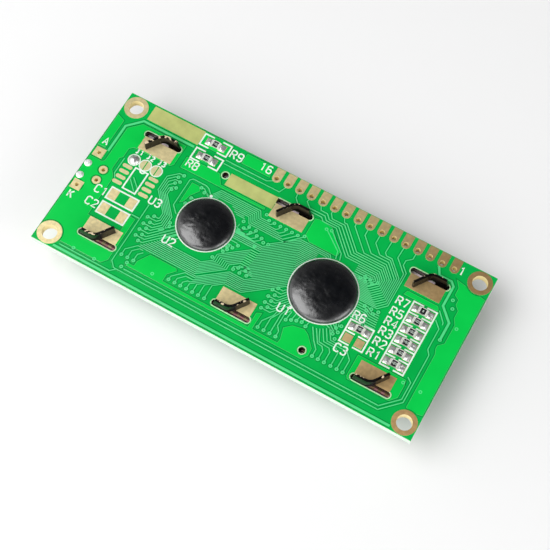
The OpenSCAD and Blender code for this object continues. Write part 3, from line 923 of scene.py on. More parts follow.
def left_bus():
    """Nested tracks that run round the left of the small chip."""
    heads = (
        [(-21.7, 7.3), (-22.7, 7.3), (-24.5, 5.6)],
        [(-22.5, 6.5), (-23.0, 6.3), (-24.1, 5.2)],
        [(-21.7, 5.8), (-22.7, 5.8), (-23.7, 4.8)],
        [(-22.4, 5.1), (-23.3, 4.2)],
        [(-21.7, 4.3), (-22.2, 4.3), (-22.9, 3.6)],
        [(-22.3, 3.6), (-22.5, 3.2)],
    )
    rows = LEFT_VIAS
    bend = -21.3
    lines = []
    for k, head in enumerate(heads):
        x = head[-1][0]
        low_x = -21.1 + 0.38 * k
        foot = 2.3
        fall = low_x - x
        via = rows[k]
        line = [(x, foot), (low_x, foot - 1.12 * fall), (low_x, low_x + via[1] - bend), (bend, via[1])]
        lines.append(head + line + [via])
    for via in rows[len(heads):]:
        lines.append(trimmed([via, (bend, via[1]), (bend + 6.0, via[1] + 6.0)]))
    for k in range(5):
        x, y = -19.2 + 0.5 * k, -4.1 - 0.45 * k
        lines.append(trimmed([(x - 0.9, y - 0.9), (x, y), (x + 4.0, y + 4.0)]))
    loop = [(-15.3, 6.4), (-16.2, 7.3), (-17.0, 7.6), (-19.8, 7.6), (-20.3, 7.1), (-20.3, 1.0), (-18.9, -0.4)]
    lines.append(loop)
    for x, y in ((-17.5, 6.75), (-16.5, 6.1), (-18.1, 3.9), (-18.5, 2.4)):
        lines.append(trimmed([(x, y), (x + 0.6, y + 0.1), (x + 2.0, y - 1.0)]))
    return lines


def bottom_fans():
    """Tracks that rise from the rows of vias along the lower edge."""
    row = VIA_ROW
    lines = [
        [(-22.1, row), (-22.1, -11.1), (-21.0, -10.0), (-20.3, -10.0)],
        [(-20.8, row), (-20.8, -11.2), (-20.0, -10.4)],
        [(5.85, row), (5.9, -11.2), (7.3, -9.2), (7.6, -7.6)],
        [(7.1, row), (7.1, -10.0), (8.0, -8.4), (8.3, -6.8)],
        [(8.35, row), (8.35, -8.3), (9.0, -6.9)],
        [(9.6, row), (9.6, -11.5), (8.9, -10.6), (8.9, -7.8), (9.6, -6.9)],
        [(17.2, row), (17.2, -11.2), (16.0, -9.8), (14.6, -7.6)],
        [(18.4, row), (18.4, -10.8), (17.9, -10.1), (16.9, -10.0), (15.3, -7.5)],
        [(19.65, row), (19.65, -10.4), (19.2, -9.8), (17.0, -9.6), (15.9, -7.3)],
        [(21.0, row), (21.0, -9.8), (20.3, -9.15), (17.7, -9.15), (16.4, -7.0)],
        [(22.25, row), (22.25, -9.3), (21.7, -8.75), (18.2, -8.75), (16.9, -6.6)],
        [(23.5, row), (23.5, -10.0), (21.9, -8.3), (18.7, -8.3), (17.3, -6.1)],
    ]
    for x, y in BELOW_CHIP_VIAS:
        lines.append([(x, y), (x + 0.25, -6.9)])
    return lines


def right_side():
    """Tracks between the large chip and the column of resistors, and those of the right end."""
    lines = []
    for k in range(8):
        y = 0.9 - 0.46 * k
        lines.append([(rim_x(LARGE, y, 1), y), (21.6, y), (22.6, y - 0.6), (24.2 + 0.08 * k, y - 0.6)])
    for k in range(6):
        y = -4.9 - 0.4 * k
        lines.append([(rim_x(LARGE, y + 0.9, 1), y + 0.9), (18.4 + 0.35 * (k % 2), y)])
    lines.append([(32.2, -15.7), (35.6, -12.3), (35.6, -2.0), (34.9, -1.0), (34.9, 3.5), (33.6, 4.8)])
    lines.append([(32.0, -15.0), (35.1, -11.9), (35.1, -8.3), (34.2, -7.6)])
    lines.append([(33.4, 6.8), (35.0, 5.0), (35.1, 4.5)])
    lines.append([(7.6, 10.9), (11.4, 8.0), (11.8, 6.4)])
    lines.append([(8.6, 11.1), (12.2, 7.9), (12.6, 6.5)])
    return lines


def fine_tracks():
    """Every thin track on the component side."""
    lines = fan_out() + chip_bus() + upper_bus() + left_bus() + bottom_fans() + right_side()
    for x, y in BESIDE_CHIP_VIAS:
        lines.append(trimmed([(x, y), (6.4, y), (9.4, y + 3.6)]))
    for x, y in SMALL_CHIP_VIAS:
        lines.append(trimmed([(x, y), (x - 0.5, y + 0.35), (x - 2.0, y + 0.35)]))
    lines += [
        [(-16.5, 14.25), (-7.5, 14.25), (-6.2, 15.0)],
        [(-16.5, 13.4), (-4.2, 13.4), (-3.6, 14.8)],
        [(-24.3, -1.3), (-24.3, -14.6), (-23.2, -15.7), (32.2, -15.7)],
        [(-26.2, -4.7), (-24.3, -4.7)],
        [(-21.5, -15.0), (32.0, -15.0)],
        [(-33.6, 4.8), (-33.6, 1.2), (-33.0, 0.3)],
        [(-29.9, 2.2), (-27.5, 0.0)],
        [(-30.3, 1.6), (-28.3, -0.4)],
        [(-34.6, -16.6), (-23.6, -16.6), (-22.7, -15.8)],
        [(-31.8, 3.6), (-31.8, 4.3)],
        [(-26.4, 3.6), (-26.4, 4.3)],
    ]
    return [line for line in lines if len(line) > 1]


def wide_tracks():
    """Supply tracks."""
    return [
        [(-37.2, 4.6), (-37.2, 11.0), (-34.6, 13.7), (-23.3, 13.7)],
        [(-35.5, -17.35), (35.5, -17.35)],
        [(29.3, 14.8), (30.2, 13.2), (32.7, 13.2), (33.5, 12.4), (33.5, 8.0), (36.0, 5.5), (36.0, 1.7)],
    ]


def via_points():
    """Middles of the covered vias."""
    row = (-23.4, -22.1, -20.8, -13.15, -11.85, -10.6, -9.35, -8.05, -6.8, -5.5)
    row += (5.85, 7.1, 8.35, 9.6, 17.2, 18.4, 19.65, 21.0, 22.25, 23.5)
    points = [(x, VIA_ROW) for x in row]
    points += [(x, 7.15) for x in (-2.9, -1.75, -0.45, 0.8, 2.05, 3.3)] + [(4.5, 7.6)]
    points += LEFT_VIAS + UPPER_VIAS + SMALL_CHIP_VIAS + BESIDE_CHIP_VIAS + BELOW_CHIP_VIAS
    round_small_chip = (
        *((-21.7, 7.3), (-22.5, 6.5), (-21.7, 5.75), (-22.4, 5.1), (-21.7, 4.3), (-22.3, 3.6)),
        *((-17.5, 6.75), (-16.5, 6.1), (-18.1, 3.9), (-18.5, 2.4), (-18.9, -2.6), (-18.6, -3.3)),
        *((-7.0, 4.6), (-1.6, 2.6), (-0.6, 2.7), (-2.65, 1.15), (-7.0, -1.3), (-8.4, -4.7)),
        *((-3.8, -4.9), (-2.4, -5.0), (-3.1, -4.2), (-1.65, -4.1), (-1.0, -4.85), (-3.9, 8.0)),
    )
    round_large_chip = (
        *((17.6, 5.4), (18.7, 5.2), (18.3, 6.0), (19.4, 5.9), (20.1, 5.3), (20.9, 6.0)),
        *((20.95, 0.8), (22.3, 0.8), (23.7, 0.9), (21.6, 0.1), (23.0, 0.1), (19.1, -4.9)),
        *((18.4, -5.7), (19.1, -6.3), (18.4, -7.0), (19.2, -7.7), (7.4, 11.0), (8.4, 11.2)),
    )
    ends = (
        *((33.9, -8.95), (37.4, -9.0), (34.6, 9.9), (35.3, 8.3), (36.0, 1.7), (37.7, 5.1)),
        *((-31.85, -16.0), (-27.3, -16.0), (-16.35, -13.2), (-21.6, -13.6), (-22.1, -14.8)),
    )
    return [*points, *round_small_chip, *round_large_chip, *ends]


def tooling_holes():
    """Middles of the two plain holes: one beside the middle plate, one beside the lower vias."""
    plate = islands("blank_plates")[-1]
    return [(plate[0].x / MM - 0.85, centre(plate).y / MM + 0.9), (15.05, -12.6)]


def copper_areas():
    """Outlines of the copper areas."""
    return [
        [(-39.85, 12.6), (-38.0, 11.9), (-38.0, 4.9), (-39.85, 4.9)],
        [(-39.85, 2.2), (-37.1, 2.2), (-36.7, 2.6), (-36.7, 10.8), (-34.4, 13.1), (-24.6, 13.1), (-24.6, 8.3),
         (-25.2, 7.7), (-33.2, 7.7), (-33.9, 7.0), (-33.9, 4.9), (-34.4, 4.4), (-34.4, 1.7), (-33.4, 0.5),
         (-33.2, -0.6), (-33.2, -8.7), (-26.2, -8.7), (-26.2, -5.2), (-24.9, -5.2), (-24.9, -14.9),
         (-25.9, -16.1), (-39.85, -16.1)],
        [(-23.4, 8.5), (-23.4, 11.2), (-16.0, 11.2), (-14.6, 9.2), (-4.8, 9.2), (-4.8, 8.6)],
        [(-19.7, 6.9), (-19.7, 1.8), (-18.9, 2.6), (-18.5, 4.2), (-17.3, 6.0), (-18.0, 6.9)],
        [(-21.6, -14.25), (15.6, -14.25), (16.6, -13.0), (16.5, -11.4), (14.6, -9.3), (13.5, -8.7), (11.2, -9.2),
         (9.9, -10.4), (10.5, -12.6), (10.4, -13.45), (5.2, -13.45), (5.2, -12.4), (5.3, -9.8), (4.2, -10.3),
         (4.2, -13.45), (-13.9, -13.45), (-13.9, -12.0), (-12.6, -10.5), (-13.0, -10.0), (-18.7, -10.0),
         (-20.2, -12.4), (-20.2, -13.45), (-21.6, -13.45)],
        [(24.3, -8.2), (34.2, -8.2), (34.4, -9.4), (34.4, -12.0), (33.2, -13.4), (24.7, -13.4), (24.3, -12.8)],
        [(26.0, 6.4), (26.4, 7.5), (32.8, 7.5), (33.2, 6.9), (33.2, 6.4)],
        [(-13.6, 15.1), (-13.6, 17.6), (-8.0, 17.6), (-7.2, 15.1)],
        [(-24.0, 17.75), (-16.7, 17.75), (-16.7, 14.7), (-24.0, 14.7)],
        [(4.4, 8.0), (4.4, 12.0), (5.4, 12.2), (8.2, 11.9), (11.9, 8.2), (11.8, 6.9), (5.8, 6.9)],
        [(39.85, 12.9), (33.3, 14.1), (34.4, 12.6), (34.4, 11.0), (35.4, 10.4), (35.4, 9.3), (36.3, 8.4),
         (36.3, 6.8), (37.0, 5.6), (37.0, 1.5), (36.0, 0.5), (36.0, -0.2), (36.4, -1.3), (36.4, -12.8),
         (37.0, -13.4), (39.85, -12.9)],
    ]


# ---- the legend's marks ----

GLYPHS = {
    "0": [[(0.14, 0.0), (0.0, 0.16), (0.0, 0.84), (0.14, 1.0), (0.46, 1.0), (0.6, 0.84), (0.6, 0.16), (0.46, 0.0),
           (0.14, 0.0)]],
    "1": [[(0.15, 0.8), (0.35, 1.0), (0.35, 0.0)]],
    "2": [[(0.0, 0.8), (0.12, 0.97), (0.48, 0.97), (0.6, 0.8), (0.6, 0.62), (0.0, 0.0), (0.62, 0.0)]],
    "3": [[(0.0, 0.88), (0.14, 1.0), (0.46, 1.0), (0.6, 0.86), (0.6, 0.66), (0.46, 0.52), (0.2, 0.52)],
          [(0.46, 0.52), (0.6, 0.38), (0.6, 0.14), (0.46, 0.0), (0.14, 0.0), (0.0, 0.12)]],
    "4": [[(0.46, 0.0), (0.46, 1.0), (0.0, 0.3), (0.64, 0.3)]],
    "5": [[(0.56, 1.0), (0.06, 1.0), (0.04, 0.56), (0.42, 0.58), (0.6, 0.44), (0.6, 0.14), (0.46, 0.0), (0.12, 0.0),
           (0.0, 0.12)]],
    "6": [[(0.56, 0.88), (0.44, 1.0), (0.16, 1.0), (0.0, 0.84), (0.0, 0.14), (0.14, 0.0), (0.46, 0.0), (0.6, 0.14),
           (0.6, 0.4), (0.46, 0.54), (0.04, 0.54)]],
    "7": [[(0.0, 1.0), (0.6, 1.0), (0.24, 0.0)]],
    "8": [[(0.14, 0.53), (0.0, 0.66), (0.0, 0.87), (0.14, 1.0), (0.46, 1.0), (0.6, 0.87), (0.6, 0.66), (0.46, 0.53),
           (0.14, 0.53), (0.0, 0.4), (0.0, 0.13), (0.14, 0.0), (0.46, 0.0), (0.6, 0.13), (0.6, 0.4), (0.46, 0.53)]],
    "9": [[(0.04, 0.12), (0.16, 0.0), (0.44, 0.0), (0.6, 0.16), (0.6, 0.86), (0.46, 1.0), (0.14, 1.0), (0.0, 0.86),
           (0.0, 0.6), (0.14, 0.46), (0.56, 0.46)]],
    "R": [[(0.0, 0.0), (0.0, 1.0), (0.46, 1.0), (0.62, 0.86), (0.62, 0.64), (0.46, 0.5), (0.0, 0.5)],
          [(0.34, 0.5), (0.64, 0.0)]],
    "C": [[(0.64, 0.84), (0.5, 1.0), (0.16, 1.0), (0.0, 0.84), (0.0, 0.16), (0.16, 0.0), (0.5, 0.0), (0.64, 0.16)]],
    "U": [[(0.0, 1.0), (0.0, 0.14), (0.16, 0.0), (0.48, 0.0), (0.64, 0.14), (0.64, 1.0)]],
    "A": [[(0.0, 0.0), (0.32, 1.0), (0.64, 0.0)], [(0.12, 0.34), (0.52, 0.34)]],
    "K": [[(0.0, 0.0), (0.0, 1.0)], [(0.6, 1.0), (0.0, 0.42)], [(0.22, 0.62), (0.62, 0.0)]],
    "J": [[(0.1, 1.0), (0.5, 1.0)], [(0.34, 1.0), (0.34, 0.14), (0.2, 0.0), (0.0, 0.1)]],
}
GLYPH_STEP = 0.92
GLYPH_GAP = 0.32
GLYPH_STRETCH = 0.95


def mark(text, x, y, height):
    """The strokes of a mark whose lower left corner is at x, y."""
    lines = []
    for place, letter in enumerate(text):
        for stroke in GLYPHS[letter]:
            left = place * GLYPH_STEP
            lines.append([(x + (left + u) * height * GLYPH_STRETCH, y + v * height) for u, v in stroke])
    return lines


def resistor_rows():
    """Middles of the chip resistors, in millimetres."""
    return [centre(pair) / MM for pair in islands("resistor_bodies")]


def legend_strokes():
    """Every reference mark, placed by the piece that it names."""
    column = sorted((p for p in resistor_rows() if p.x > 26), key=lambda p: -p.y)
    lines = []
    for name, spot, rise in zip(("R7", "R5", "R4", "R3", "R2", "R1"), column, (0.1, 0.0, 0.1, 0.2, 0.2, 0.1)):
        lines += mark(name, spot.x - 5.3, spot.y - 0.95 + rise, 1.6)
    first_pad = pad_x(1)
    lines += mark("1", first_pad + 1.0, 15.2, 1.6) + mark("16", HEADER[0] - 3.95, 15.8, 1.6)
    lines += mark("R9", -16.3, 15.2, 1.7) + mark("R8", -22.7, 9.35, 1.6)
    lines += mark("U2", SMALL[0] - 5.45, -6.7, 1.6) + mark("U1", LARGE[0] - 5.8, -8.0, 1.6)
    lines += mark("U3", -24.8, -1.0, 1.6) + mark("C1", -35.0, -4.0, 1.6) + mark("C2", -35.2, -7.0, 1.6)
    lines += mark("R6", 19.95, -2.4, 1.6) + mark("C3", 19.9, -9.7, 1.6)
    lines += mark("A", -39.1, 5.5, 1.5) + mark("K", -38.9, -7.5, 1.5)
    lines.append(arc((-29.1, 4.25), 0.55, 180, 360))
    for x, number in zip((-32.5, -30.0, -27.5), "123"):
        lines += mark("J" + number, x + 0.1, 6.95, 0.95)
    return lines


def ink_dots():
    """Small round marks at the rims of the sealed chips."""
    return [(-15.0, 6.1), (9.2, -6.35)]


# ---- operators ----


class Builder:
    """Shared by the operators."""

    bl_options = {"REGISTER", "UNDO"}

    def execute(self, context):
        self.build()
        return {"FINISHED"}


class DISPLAY_OT_board(Builder, bpy.types.Operator):
    """Solder mask and laminate on the circuit board, gold on its lands"""

    bl_idname = "display_module.board"
    bl_label = "Board and lands"

    def build(self):
        tint = colours()
        dress(["circuit_board"], material("solder_mask_board", board_finish))
        gold = material("gold_land", lambda: gold_finish("gold_land", tint.land, tint.land_shaded))
        dress(["board_header_lands", "mounting_lands", "tab_lands", "capacitor_lands", "resistor_lands"], gold)
        dress(["backlight_lands", "contact_fingers"], gold)
        # The tinned lands get the same painted reflection and shade: pale at the left end, darker at the far end.
        pale, tinned_shaded = srgb(222, 214, 162), srgb(176, 160, 116)
        tinned = material("tinned_land", lambda: gold_finish("tinned_land", pale, tinned_shaded, 0.08))
        dress(["driver_lands", "link_lands"], tinned)
        glaze = {"rough": (0.3, 0.42), "spread": 0.1, "scale": 500, "coat": 0.3, "coat_rough": 0.2}
        dress(["blank_plates"], mottled_material("masked_plate", tint.plate, **glaze))
        dress(["legend"], white_ink())


def white_ink():
    return mottled_material("white_ink", colours().ink, rough=(0.5, 0.65), spread=0.07, scale=1200, grain=6000)


def white_alumina():
    return mottled_material("white_alumina", srgb(232, 232, 226), rough=(0.55, 0.7), scale=2000)


class DISPLAY_OT_tracks(Builder, bpy.types.Operator):
    """Copper tracks, vias and copper areas that show through the solder mask"""

    bl_idname = "display_module.tracks"
    bl_label = "Tracks, vias and copper areas"

    def build(self):
        relief, area, gutter = self.masks()
        size = sizes()
        foot = 0.1 * MM
        fine, wide = fine_tracks(), wide_tracks()
        supply_w = size.wide_track_w
        beside = supply_w + 0.4 * MM
        # The gutters beside the tracks are darker: thicker mask there, and painted shade.
        rows = (
            ("mask_gutters", fine, size.gutter_w, size.gutter_w + foot, size.gutter_h, gutter),
            ("mask_over_tracks", fine, size.track_w, size.track_foot, size.track_h, relief),
            ("mask_over_supply_tracks", wide, supply_w, supply_w + 0.15 * MM, size.track_h, relief),
            ("mask_supply_gutters", wide, beside, beside + foot, size.gutter_h, gutter),
        )
        for name, lines, width, foot_w, height, made in rows:
            piece(name, ribbons(name, lines, width, foot_w, 0, height, made))
        self.areas(area, gutter)
        self.vias(relief, gutter)

    def masks(self):
        """The mask's finishes over tracks, over copper areas and beside them."""
        size, tint = sizes(), colours()
        # The gutter colour, partly painted shade, is also the low colour at the foot of every ridge.
        low = tint.mask_gutter
        rows = (
            # Track tops: mask over copper, painted paler as a highlight on the ridge.
            ("solder_mask_relief", tint.mask_track, 0.3 * size.track_h, size.track_h, None),
            ("solder_mask_copper", tint.mask_copper, 0.3 * size.pour_h, size.pour_h, tint.mask_edge_highlight),
            ("solder_mask_gutter", low, 0, size.gutter_h, None),
        )
        return [
            material(name, lambda: mask_finish(name, low, high, Z_TOP + start, Z_TOP + end, edge))
            for name, high, start, end, edge in rows
        ]

    def areas(self, made, gutter):
        size = sizes()
        verts, faces, low_verts, low_faces = [], [], [], []
        for loop in copper_areas():
            outline = [(x * MM, y * MM) for x, y in loop]
            if area_of(outline) < 0:
                outline = outline[::-1]
            add_plate(verts, faces, outline, Z_TOP, Z_TOP + size.pour_h, size.pour_slope)
            # A darker rim round each copper area: thicker mask, and painted shade at its edge.
            wider = offset(outline, -0.14 * MM, closed=True)
            add_plate(low_verts, low_faces, wider, Z_TOP, Z_TOP + size.gutter_h, 0.05 * MM)
        openings = board_openings()
        gaps = [widened(loop, size.pour_gap) for loop in openings]
        for node in ("mounting_lands", "backlight_lands"):
            for low, high in islands(node):
                middle, reach = (low + high) / 2, (high.x - low.x) / 2
                gaps.append(round_outline(middle.x, middle.y, reach + size.pour_gap))
        areas = cut(mesh_from("mask_over_copper_areas", verts, faces), gaps)
        piece("mask_over_copper_areas", areas, made)
        holes = [widened(loop, 0.02 * MM) for loop in openings]
        gutters = cut(mesh_from("mask_area_gutters", low_verts, low_faces), holes)
        piece("mask_area_gutters", gutters, gutter)
        self.rims(openings)

    def rims(self, openings):
        """Pale edges of the mask round the slots and the two plain holes."""
        size = sizes()
        pale = mottled_material("mask_rim", colours().mask_rim, spread=0.1, scale=1500)
        slot_least, near = 5 * MM, 0.5 * MM
        lines = []
        for loop in openings:
            xs, ys = [p[0] for p in loop], [p[1] for p in loop]
            middle = (sum(xs) / len(xs), sum(ys) / len(ys))
            plain = min(math.dist(middle, (x * MM, y * MM)) for x, y in tooling_holes()) < near
            if plain or max(xs) - min(xs) > slot_least:
                edge = widened(loop, size.rim_w / 2 + 0.03 * MM)
                lines.append([(x / MM, y / MM) for x, y in edge + edge[:2]])
        rims = ribbons("mask_rims", lines, size.rim_w, size.rim_w + 0.06 * MM, 0, size.track_h, pale)
        piece("mask_rims", rims)

    def vias(self, made, gutter):
        size = sizes()
        r, h = size.via_r, size.track_h * 1.05
        rings = ((r, 0.0), (r * 0.8, h), (r * 0.42, h), (r * 0.25, h * 0.35), (0.0, h * 0.3))
        pattern = turned("via", rings, 16)
        points = [(x * MM, y * MM, Z_TOP) for x, y in via_points()]
        piece("mask_over_vias", copies("mask_over_vias", points, pattern, made))
        # A darker ring round each via: thicker mask, and painted shade.
        outer, inner = r + 0.14 * MM, r + 0.1 * MM
        halo = turned("via_gutter", ((outer, 0.0), (inner, size.gutter_h), (0.0, size.gutter_h)), 16)
        piece("mask_via_gutters", copies("mask_via_gutters", points, halo, gutter))


def turned(name, rings, count):
    """A turned mesh from (radius, height) pairs, closed underneath."""
    verts, faces = [], []
    loops = []
    for radius, height in rings:
        if radius == 0:
            loops.append([len(verts)])
            verts.append((0, 0, height))
            continue
        loops.append(list(range(len(verts), len(verts) + count)))
        for k in range(count):
            angle = 2 * math.pi * k / count
            verts.append((radius * math.cos(angle), radius * math.sin(angle), height))
    for low, high in zip(loops, loops[1:]):
        for k in range(count):
            after = (k + 1) % count
            if len(high) == 1:
                faces.append((low[k], low[after], high[0]))
            else:
                faces.append((low[k], low[after], high[after], high[k]))
    faces.append(tuple(reversed(loops[0])))
    return mesh_from(name, verts, faces)


class DISPLAY_OT_legend(Builder, bpy.types.Operator):
    """Reference marks in white legend ink"""

    bl_idname = "display_module.legend"
    bl_label = "Legend marks"

    def build(self):
        size = sizes()
        ink = white_ink()
        foot = size.stroke_w + 0.03 * MM
        marks = ribbons("legend_marks", legend_strokes(), size.stroke_w, foot, 0, size.stroke_h, ink)
        piece("legend_marks", marks)
        dot = turned("dot", ((0.32 * MM, 0.0), (0.3 * MM, size.stroke_h), (0.0, size.stroke_h)), 20)
        points = [(x * MM, y * MM, Z_TOP) for x, y in ink_dots()]
        piece("legend_dots", copies("legend_dots", points, dot, ink))
        coats = islands("resistor_coats")
        lines = []
        for number, pair in enumerate(coats):
            spot = centre(pair) / MM
            code, height = ("0", 0.34) if number == len(coats) - 1 else ("102", 0.42)
            width = (len(code) * GLYPH_STEP - GLYPH_GAP) * height * GLYPH_STRETCH
            lines += mark(code, spot.x - width / 2, spot.y - height / 2, height)
        low = (coats[0][1].z - Z_TOP) - 0.004 * MM
        codes = ribbons("resistor_codes", lines, 0.075 * MM, 0.08 * MM, low, low + 0.014 * MM, ink)
        piece("resistor_codes", codes)
        self.coat_edges(coats)

    def coat_edges(self, coats):
        """The pale ceramic that shows round the coat of each chip resistor."""
        pale = white_alumina()
        lines = []
        for low, high in coats:
            edge = [(low.x, low.y), (high.x, low.y), (high.x, high.y), (low.x, high.y)]
            lines.append([(x / MM, y / MM) for x, y in edge + edge[:2]])
        level = coats[0][1].z - Z_TOP
        width, under, over = 0.16 * MM, level - 0.02 * MM, level + 0.012 * MM
        edges = ribbons("resistor_coat_edges", lines, width, width, under, over, pale)
        piece("resistor_coat_edges", edges)


class DISPLAY_OT_sealed_chips(Builder, bpy.types.Operator):
    """The two sealed chips, with the wrinkled skin of poured epoxy"""

    bl_idname = "display_module.sealed_chips"
    bl_label = "Sealed chips"

    def build(self):
        made = material("black_epoxy", epoxy_finish)
        for seed, node in enumerate(("epoxy_cap_large", "epoxy_cap_small")):
            piece("sealed_chip_" + node[10:], self.skin(node, seed), made, (node,))

    def skin(self, node, seed):
        """A dome that fills the node's box, with broad and fine wrinkles that fade out at its foot."""
        low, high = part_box(node)
        middle = (low + high) / 2
        radius, height = (high.x - low.x) / 2, high.z - low.z
        depth = sizes().wrinkle
        count, rings, bulge = 150, 46, 2.3
        verts, faces = [], []
        for ring in range(rings):
            angle = math.pi / 2 * (ring / (rings - 1)) ** 1.15
            r = radius * math.cos(angle) ** (2 / bulge) if ring < rings - 1 else 0
            z = height * math.sin(angle) ** (2 / bulge)
            for k in range(count if r > 0 else 1):
                turn = 2 * math.pi * k / count
                x, y = r * math.cos(turn), r * math.sin(turn)
                # the fine wrinkles are longer along one diagonal, the broad ones are not
                spot = Vector((x * 900 + y * 500, y * 1500 - x * 300, seed * 7.3))
                fine = noise.fractal(spot, 0.9, 2.1, 4)
                broad = noise.noise(Vector((x * 260, y * 260, seed * 3.1 + 5)))
                fade = min(1.0, ring / 5)
                wrinkle = fine * 0.55 + broad * 0.9 - 0.45
                verts.append((middle.x + x, middle.y + y, low.z + z + fade * depth * wrinkle))
        for ring in range(rings - 2):
            for k in range(count):
                a, b = ring * count + k, ring * count + (k + 1) % count
                faces.append((a, b, b + count, a + count))
        last = (rings - 2) * count
        for k in range(count):
            faces.append((last + k, last + (k + 1) % count, (rings - 1) * count))
        faces.append(tuple(reversed(range(count))))
        return mesh_from(node + "_skin", verts, faces, smooth=True)


def lump(verts, faces, low, high, height_at, seed, steps=9):
    """A closed lump of solder on a rectangular foot, where height_at(u, v) gives its height from 0 to 1."""
    start = len(verts)
    for top in (0, 1):
        for j in range(steps + 1):
            for i in range(steps + 1):
                u, v = i / steps, j / steps
                x = low.x + (high.x - low.x) * u
                y = low.y + (high.y - low.y) * v
                rise = 0.0
                if top:
                    rough = noise.noise(Vector((x * 2600, y * 2600, seed)))
                    rise = max(0.0, height_at(u, v) * (1 + 0.28 * rough)) * (high.z - low.z)
                verts.append((x, y, low.z + rise))
    row = steps + 1
    sheet = row * row
    for j in range(steps):
        for i in range(steps):
            a = start + j * row + i
            faces.append((a + row, a + row + 1, a + 1, a))
            b = a + sheet
            faces.append((b, b + 1, b + row + 1, b + row))
    border = list(range(row)) + [row * (j + 1) - 1 for j in range(1, row)]
    border += [sheet - 1 - i for i in range(1, row)] + [row * (row - 1 - j) for j in range(1, row - 1)]
    for a, b in zip(border, border[1:] + border[:1]):
        faces.append((start + a, start + b, start + b + sheet, start + a + sheet))


def fillet(along, v):
    """Height from 0 to 1 of a resistor's solder, which falls away from the part to the end of its land."""
    if along < 0.06:
        return 0.0
    across = 1 - abs(2 * v - 1) ** 6
    fall = 0.92 if along < 0.4 else 0.92 - 0.74 * ((along - 0.4) / 0.6) ** 0.8
    return across * fall * (1 - max(0, along - 0.9) * 8)


class DISPLAY_OT_solder(Builder, bpy.types.Operator):
    """Solder on the resistors, the closed link and the backlight's legs"""

    bl_idname = "display_module.solder"
    bl_label = "Solder and chip resistors"

    def build(self):
        ripple = {"scale": 1500, "bump": 0.4, "depth": 0.00004}
        tin = mottled_material(
            "solder", colours().solder, rough=(0.16, 0.3), spread=0.14, grain=3000, metallic=0.7, **ripple
        )
        # The solder on the backlight's legs is painted near-white, lighter than the other solder: a painted
        # highlight.
        bright = mottled_material(
            "bright_solder", srgb(246, 246, 246), rough=(0.25, 0.4), spread=0.06, metallic=0.35, **ripple
        )
        self.lumps(tin)
        dress(["link_solder"], tin)
        dress(["leg_solder", "backlight_legs"], bright)
        plated = {"rough": (0.4, 0.5), "scale": 2000, "metallic": 0.35}
        dress(["resistor_end_caps"], mottled_material("tinned_copper", srgb(222, 222, 214), **plated))
        dress(["resistor_coats"], mottled_material("black_glaze", srgb(20, 20, 24), rough=(0.3, 0.45), scale=2000))
        dress(["resistor_bodies"], white_alumina())

    def lumps(self, tin):
        """A lump of solder on each resistor land, high against the part."""
        under, past, beside, rise = 0.2 * MM, 0.05 * MM, 0.03 * MM, 0.52 * MM
        chips = [centre(pair) for pair in islands("resistor_bodies")]
        verts, faces = [], []
        for number, (low, high) in enumerate(islands("resistor_lands")):
            middle = centre((low, high))
            chip = min(chips, key=lambda c: (c - middle).length)
            on_right = low.x > chip.x
            left, right = (under, past) if on_right else (past, under)
            foot_low = Vector((low.x + left, low.y + beside, high.z))
            foot_high = Vector((high.x - right, high.y - beside, high.z + rise))
            height_at = fillet if on_right else lambda u, v: fillet(1 - u, v)
            lump(verts, faces, foot_low, foot_high, height_at, number * 1.7)
        solder = mesh_from("resistor_solder_lumps", verts, faces, smooth=True)
        piece("resistor_solder_lumps", solder, tin, ("resistor_solder",))


class DISPLAY_OT_bezel(Builder, bpy.types.Operator):
    """Black paint on the folded bezel, bare steel on its cut edges, with a painted reflection on some of them"""

    bl_idname = "display_module.bezel"
    bl_label = "Folded bezel"

    def build(self):
        dress(["metal_bezel"], material("blackened_steel", bezel_finish))


class DISPLAY_OT_display(Builder, bpy.types.Operator):
    """The display cell, its films and its rows of dots"""

    bl_idname = "display_module.display"
    bl_label = "Display cell"

    def build(self):
        tint = colours()
        film = material("polariser_film", lambda: clear_finish("polariser_film", srgb(60, 84, 150), 0.42))
        glass = material("cell_glass", lambda: clear_finish("cell_glass", srgb(196, 224, 214), 0.22, 0.04))
        dress(["front_polariser", "rear_polariser"], film)
        dress(["front_glass", "rear_glass"], glass)
        dress(
            ["liquid_crystal"],
            mottled_material("display_blue", tint.display, rough=(0.3, 0.4), spread=0.06, scale=60, bump=0.05),
        )
        dress(["cell_seal"], mottled_material("seal_resin", srgb(206, 200, 170), scale=500))
        self.dots(mottled_material("display_dots", tint.display_cell, rough=(0.3, 0.4), spread=0.05, bump=0.05))

    def dots(self, made):
        """Two rows of sixteen cells, each five dots wide and eight high."""
        low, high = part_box("liquid_crystal")
        middle = (low + high) / 2
        dot_w, dot_h, dot_gap = 0.55 * MM, 0.65 * MM, 0.05 * MM
        cell_pitch, line_pitch = 3.55 * MM, 5.95 * MM
        half_w, half_h, depth = dot_w / 2, dot_h / 2, 0.012 * MM
        corners = ((-half_w, -half_h), (half_w, -half_h), (half_w, half_h), (-half_w, half_h))
        verts = [(x, y, z) for z in (-depth, 0.0) for x, y in corners]
        sides = [(k, (k + 1) % 4, (k + 1) % 4 + 4, k + 4) for k in range(4)]
        pattern = mesh_from("dot", verts, [(3, 2, 1, 0), (4, 5, 6, 7), *sides])
        points = []
        for line in (-0.5, 0.5):
            for cell in range(16):
                for column in range(5):
                    for row in range(8):
                        points.append((
                            middle.x + (cell - 7.5) * cell_pitch + (column - 2) * (dot_w + dot_gap),
                            middle.y + line * line_pitch + (row - 3.5) * (dot_h + dot_gap),
                            low.z,
                        ))
        piece("display_dots", copies("display_dots", points, pattern, made))


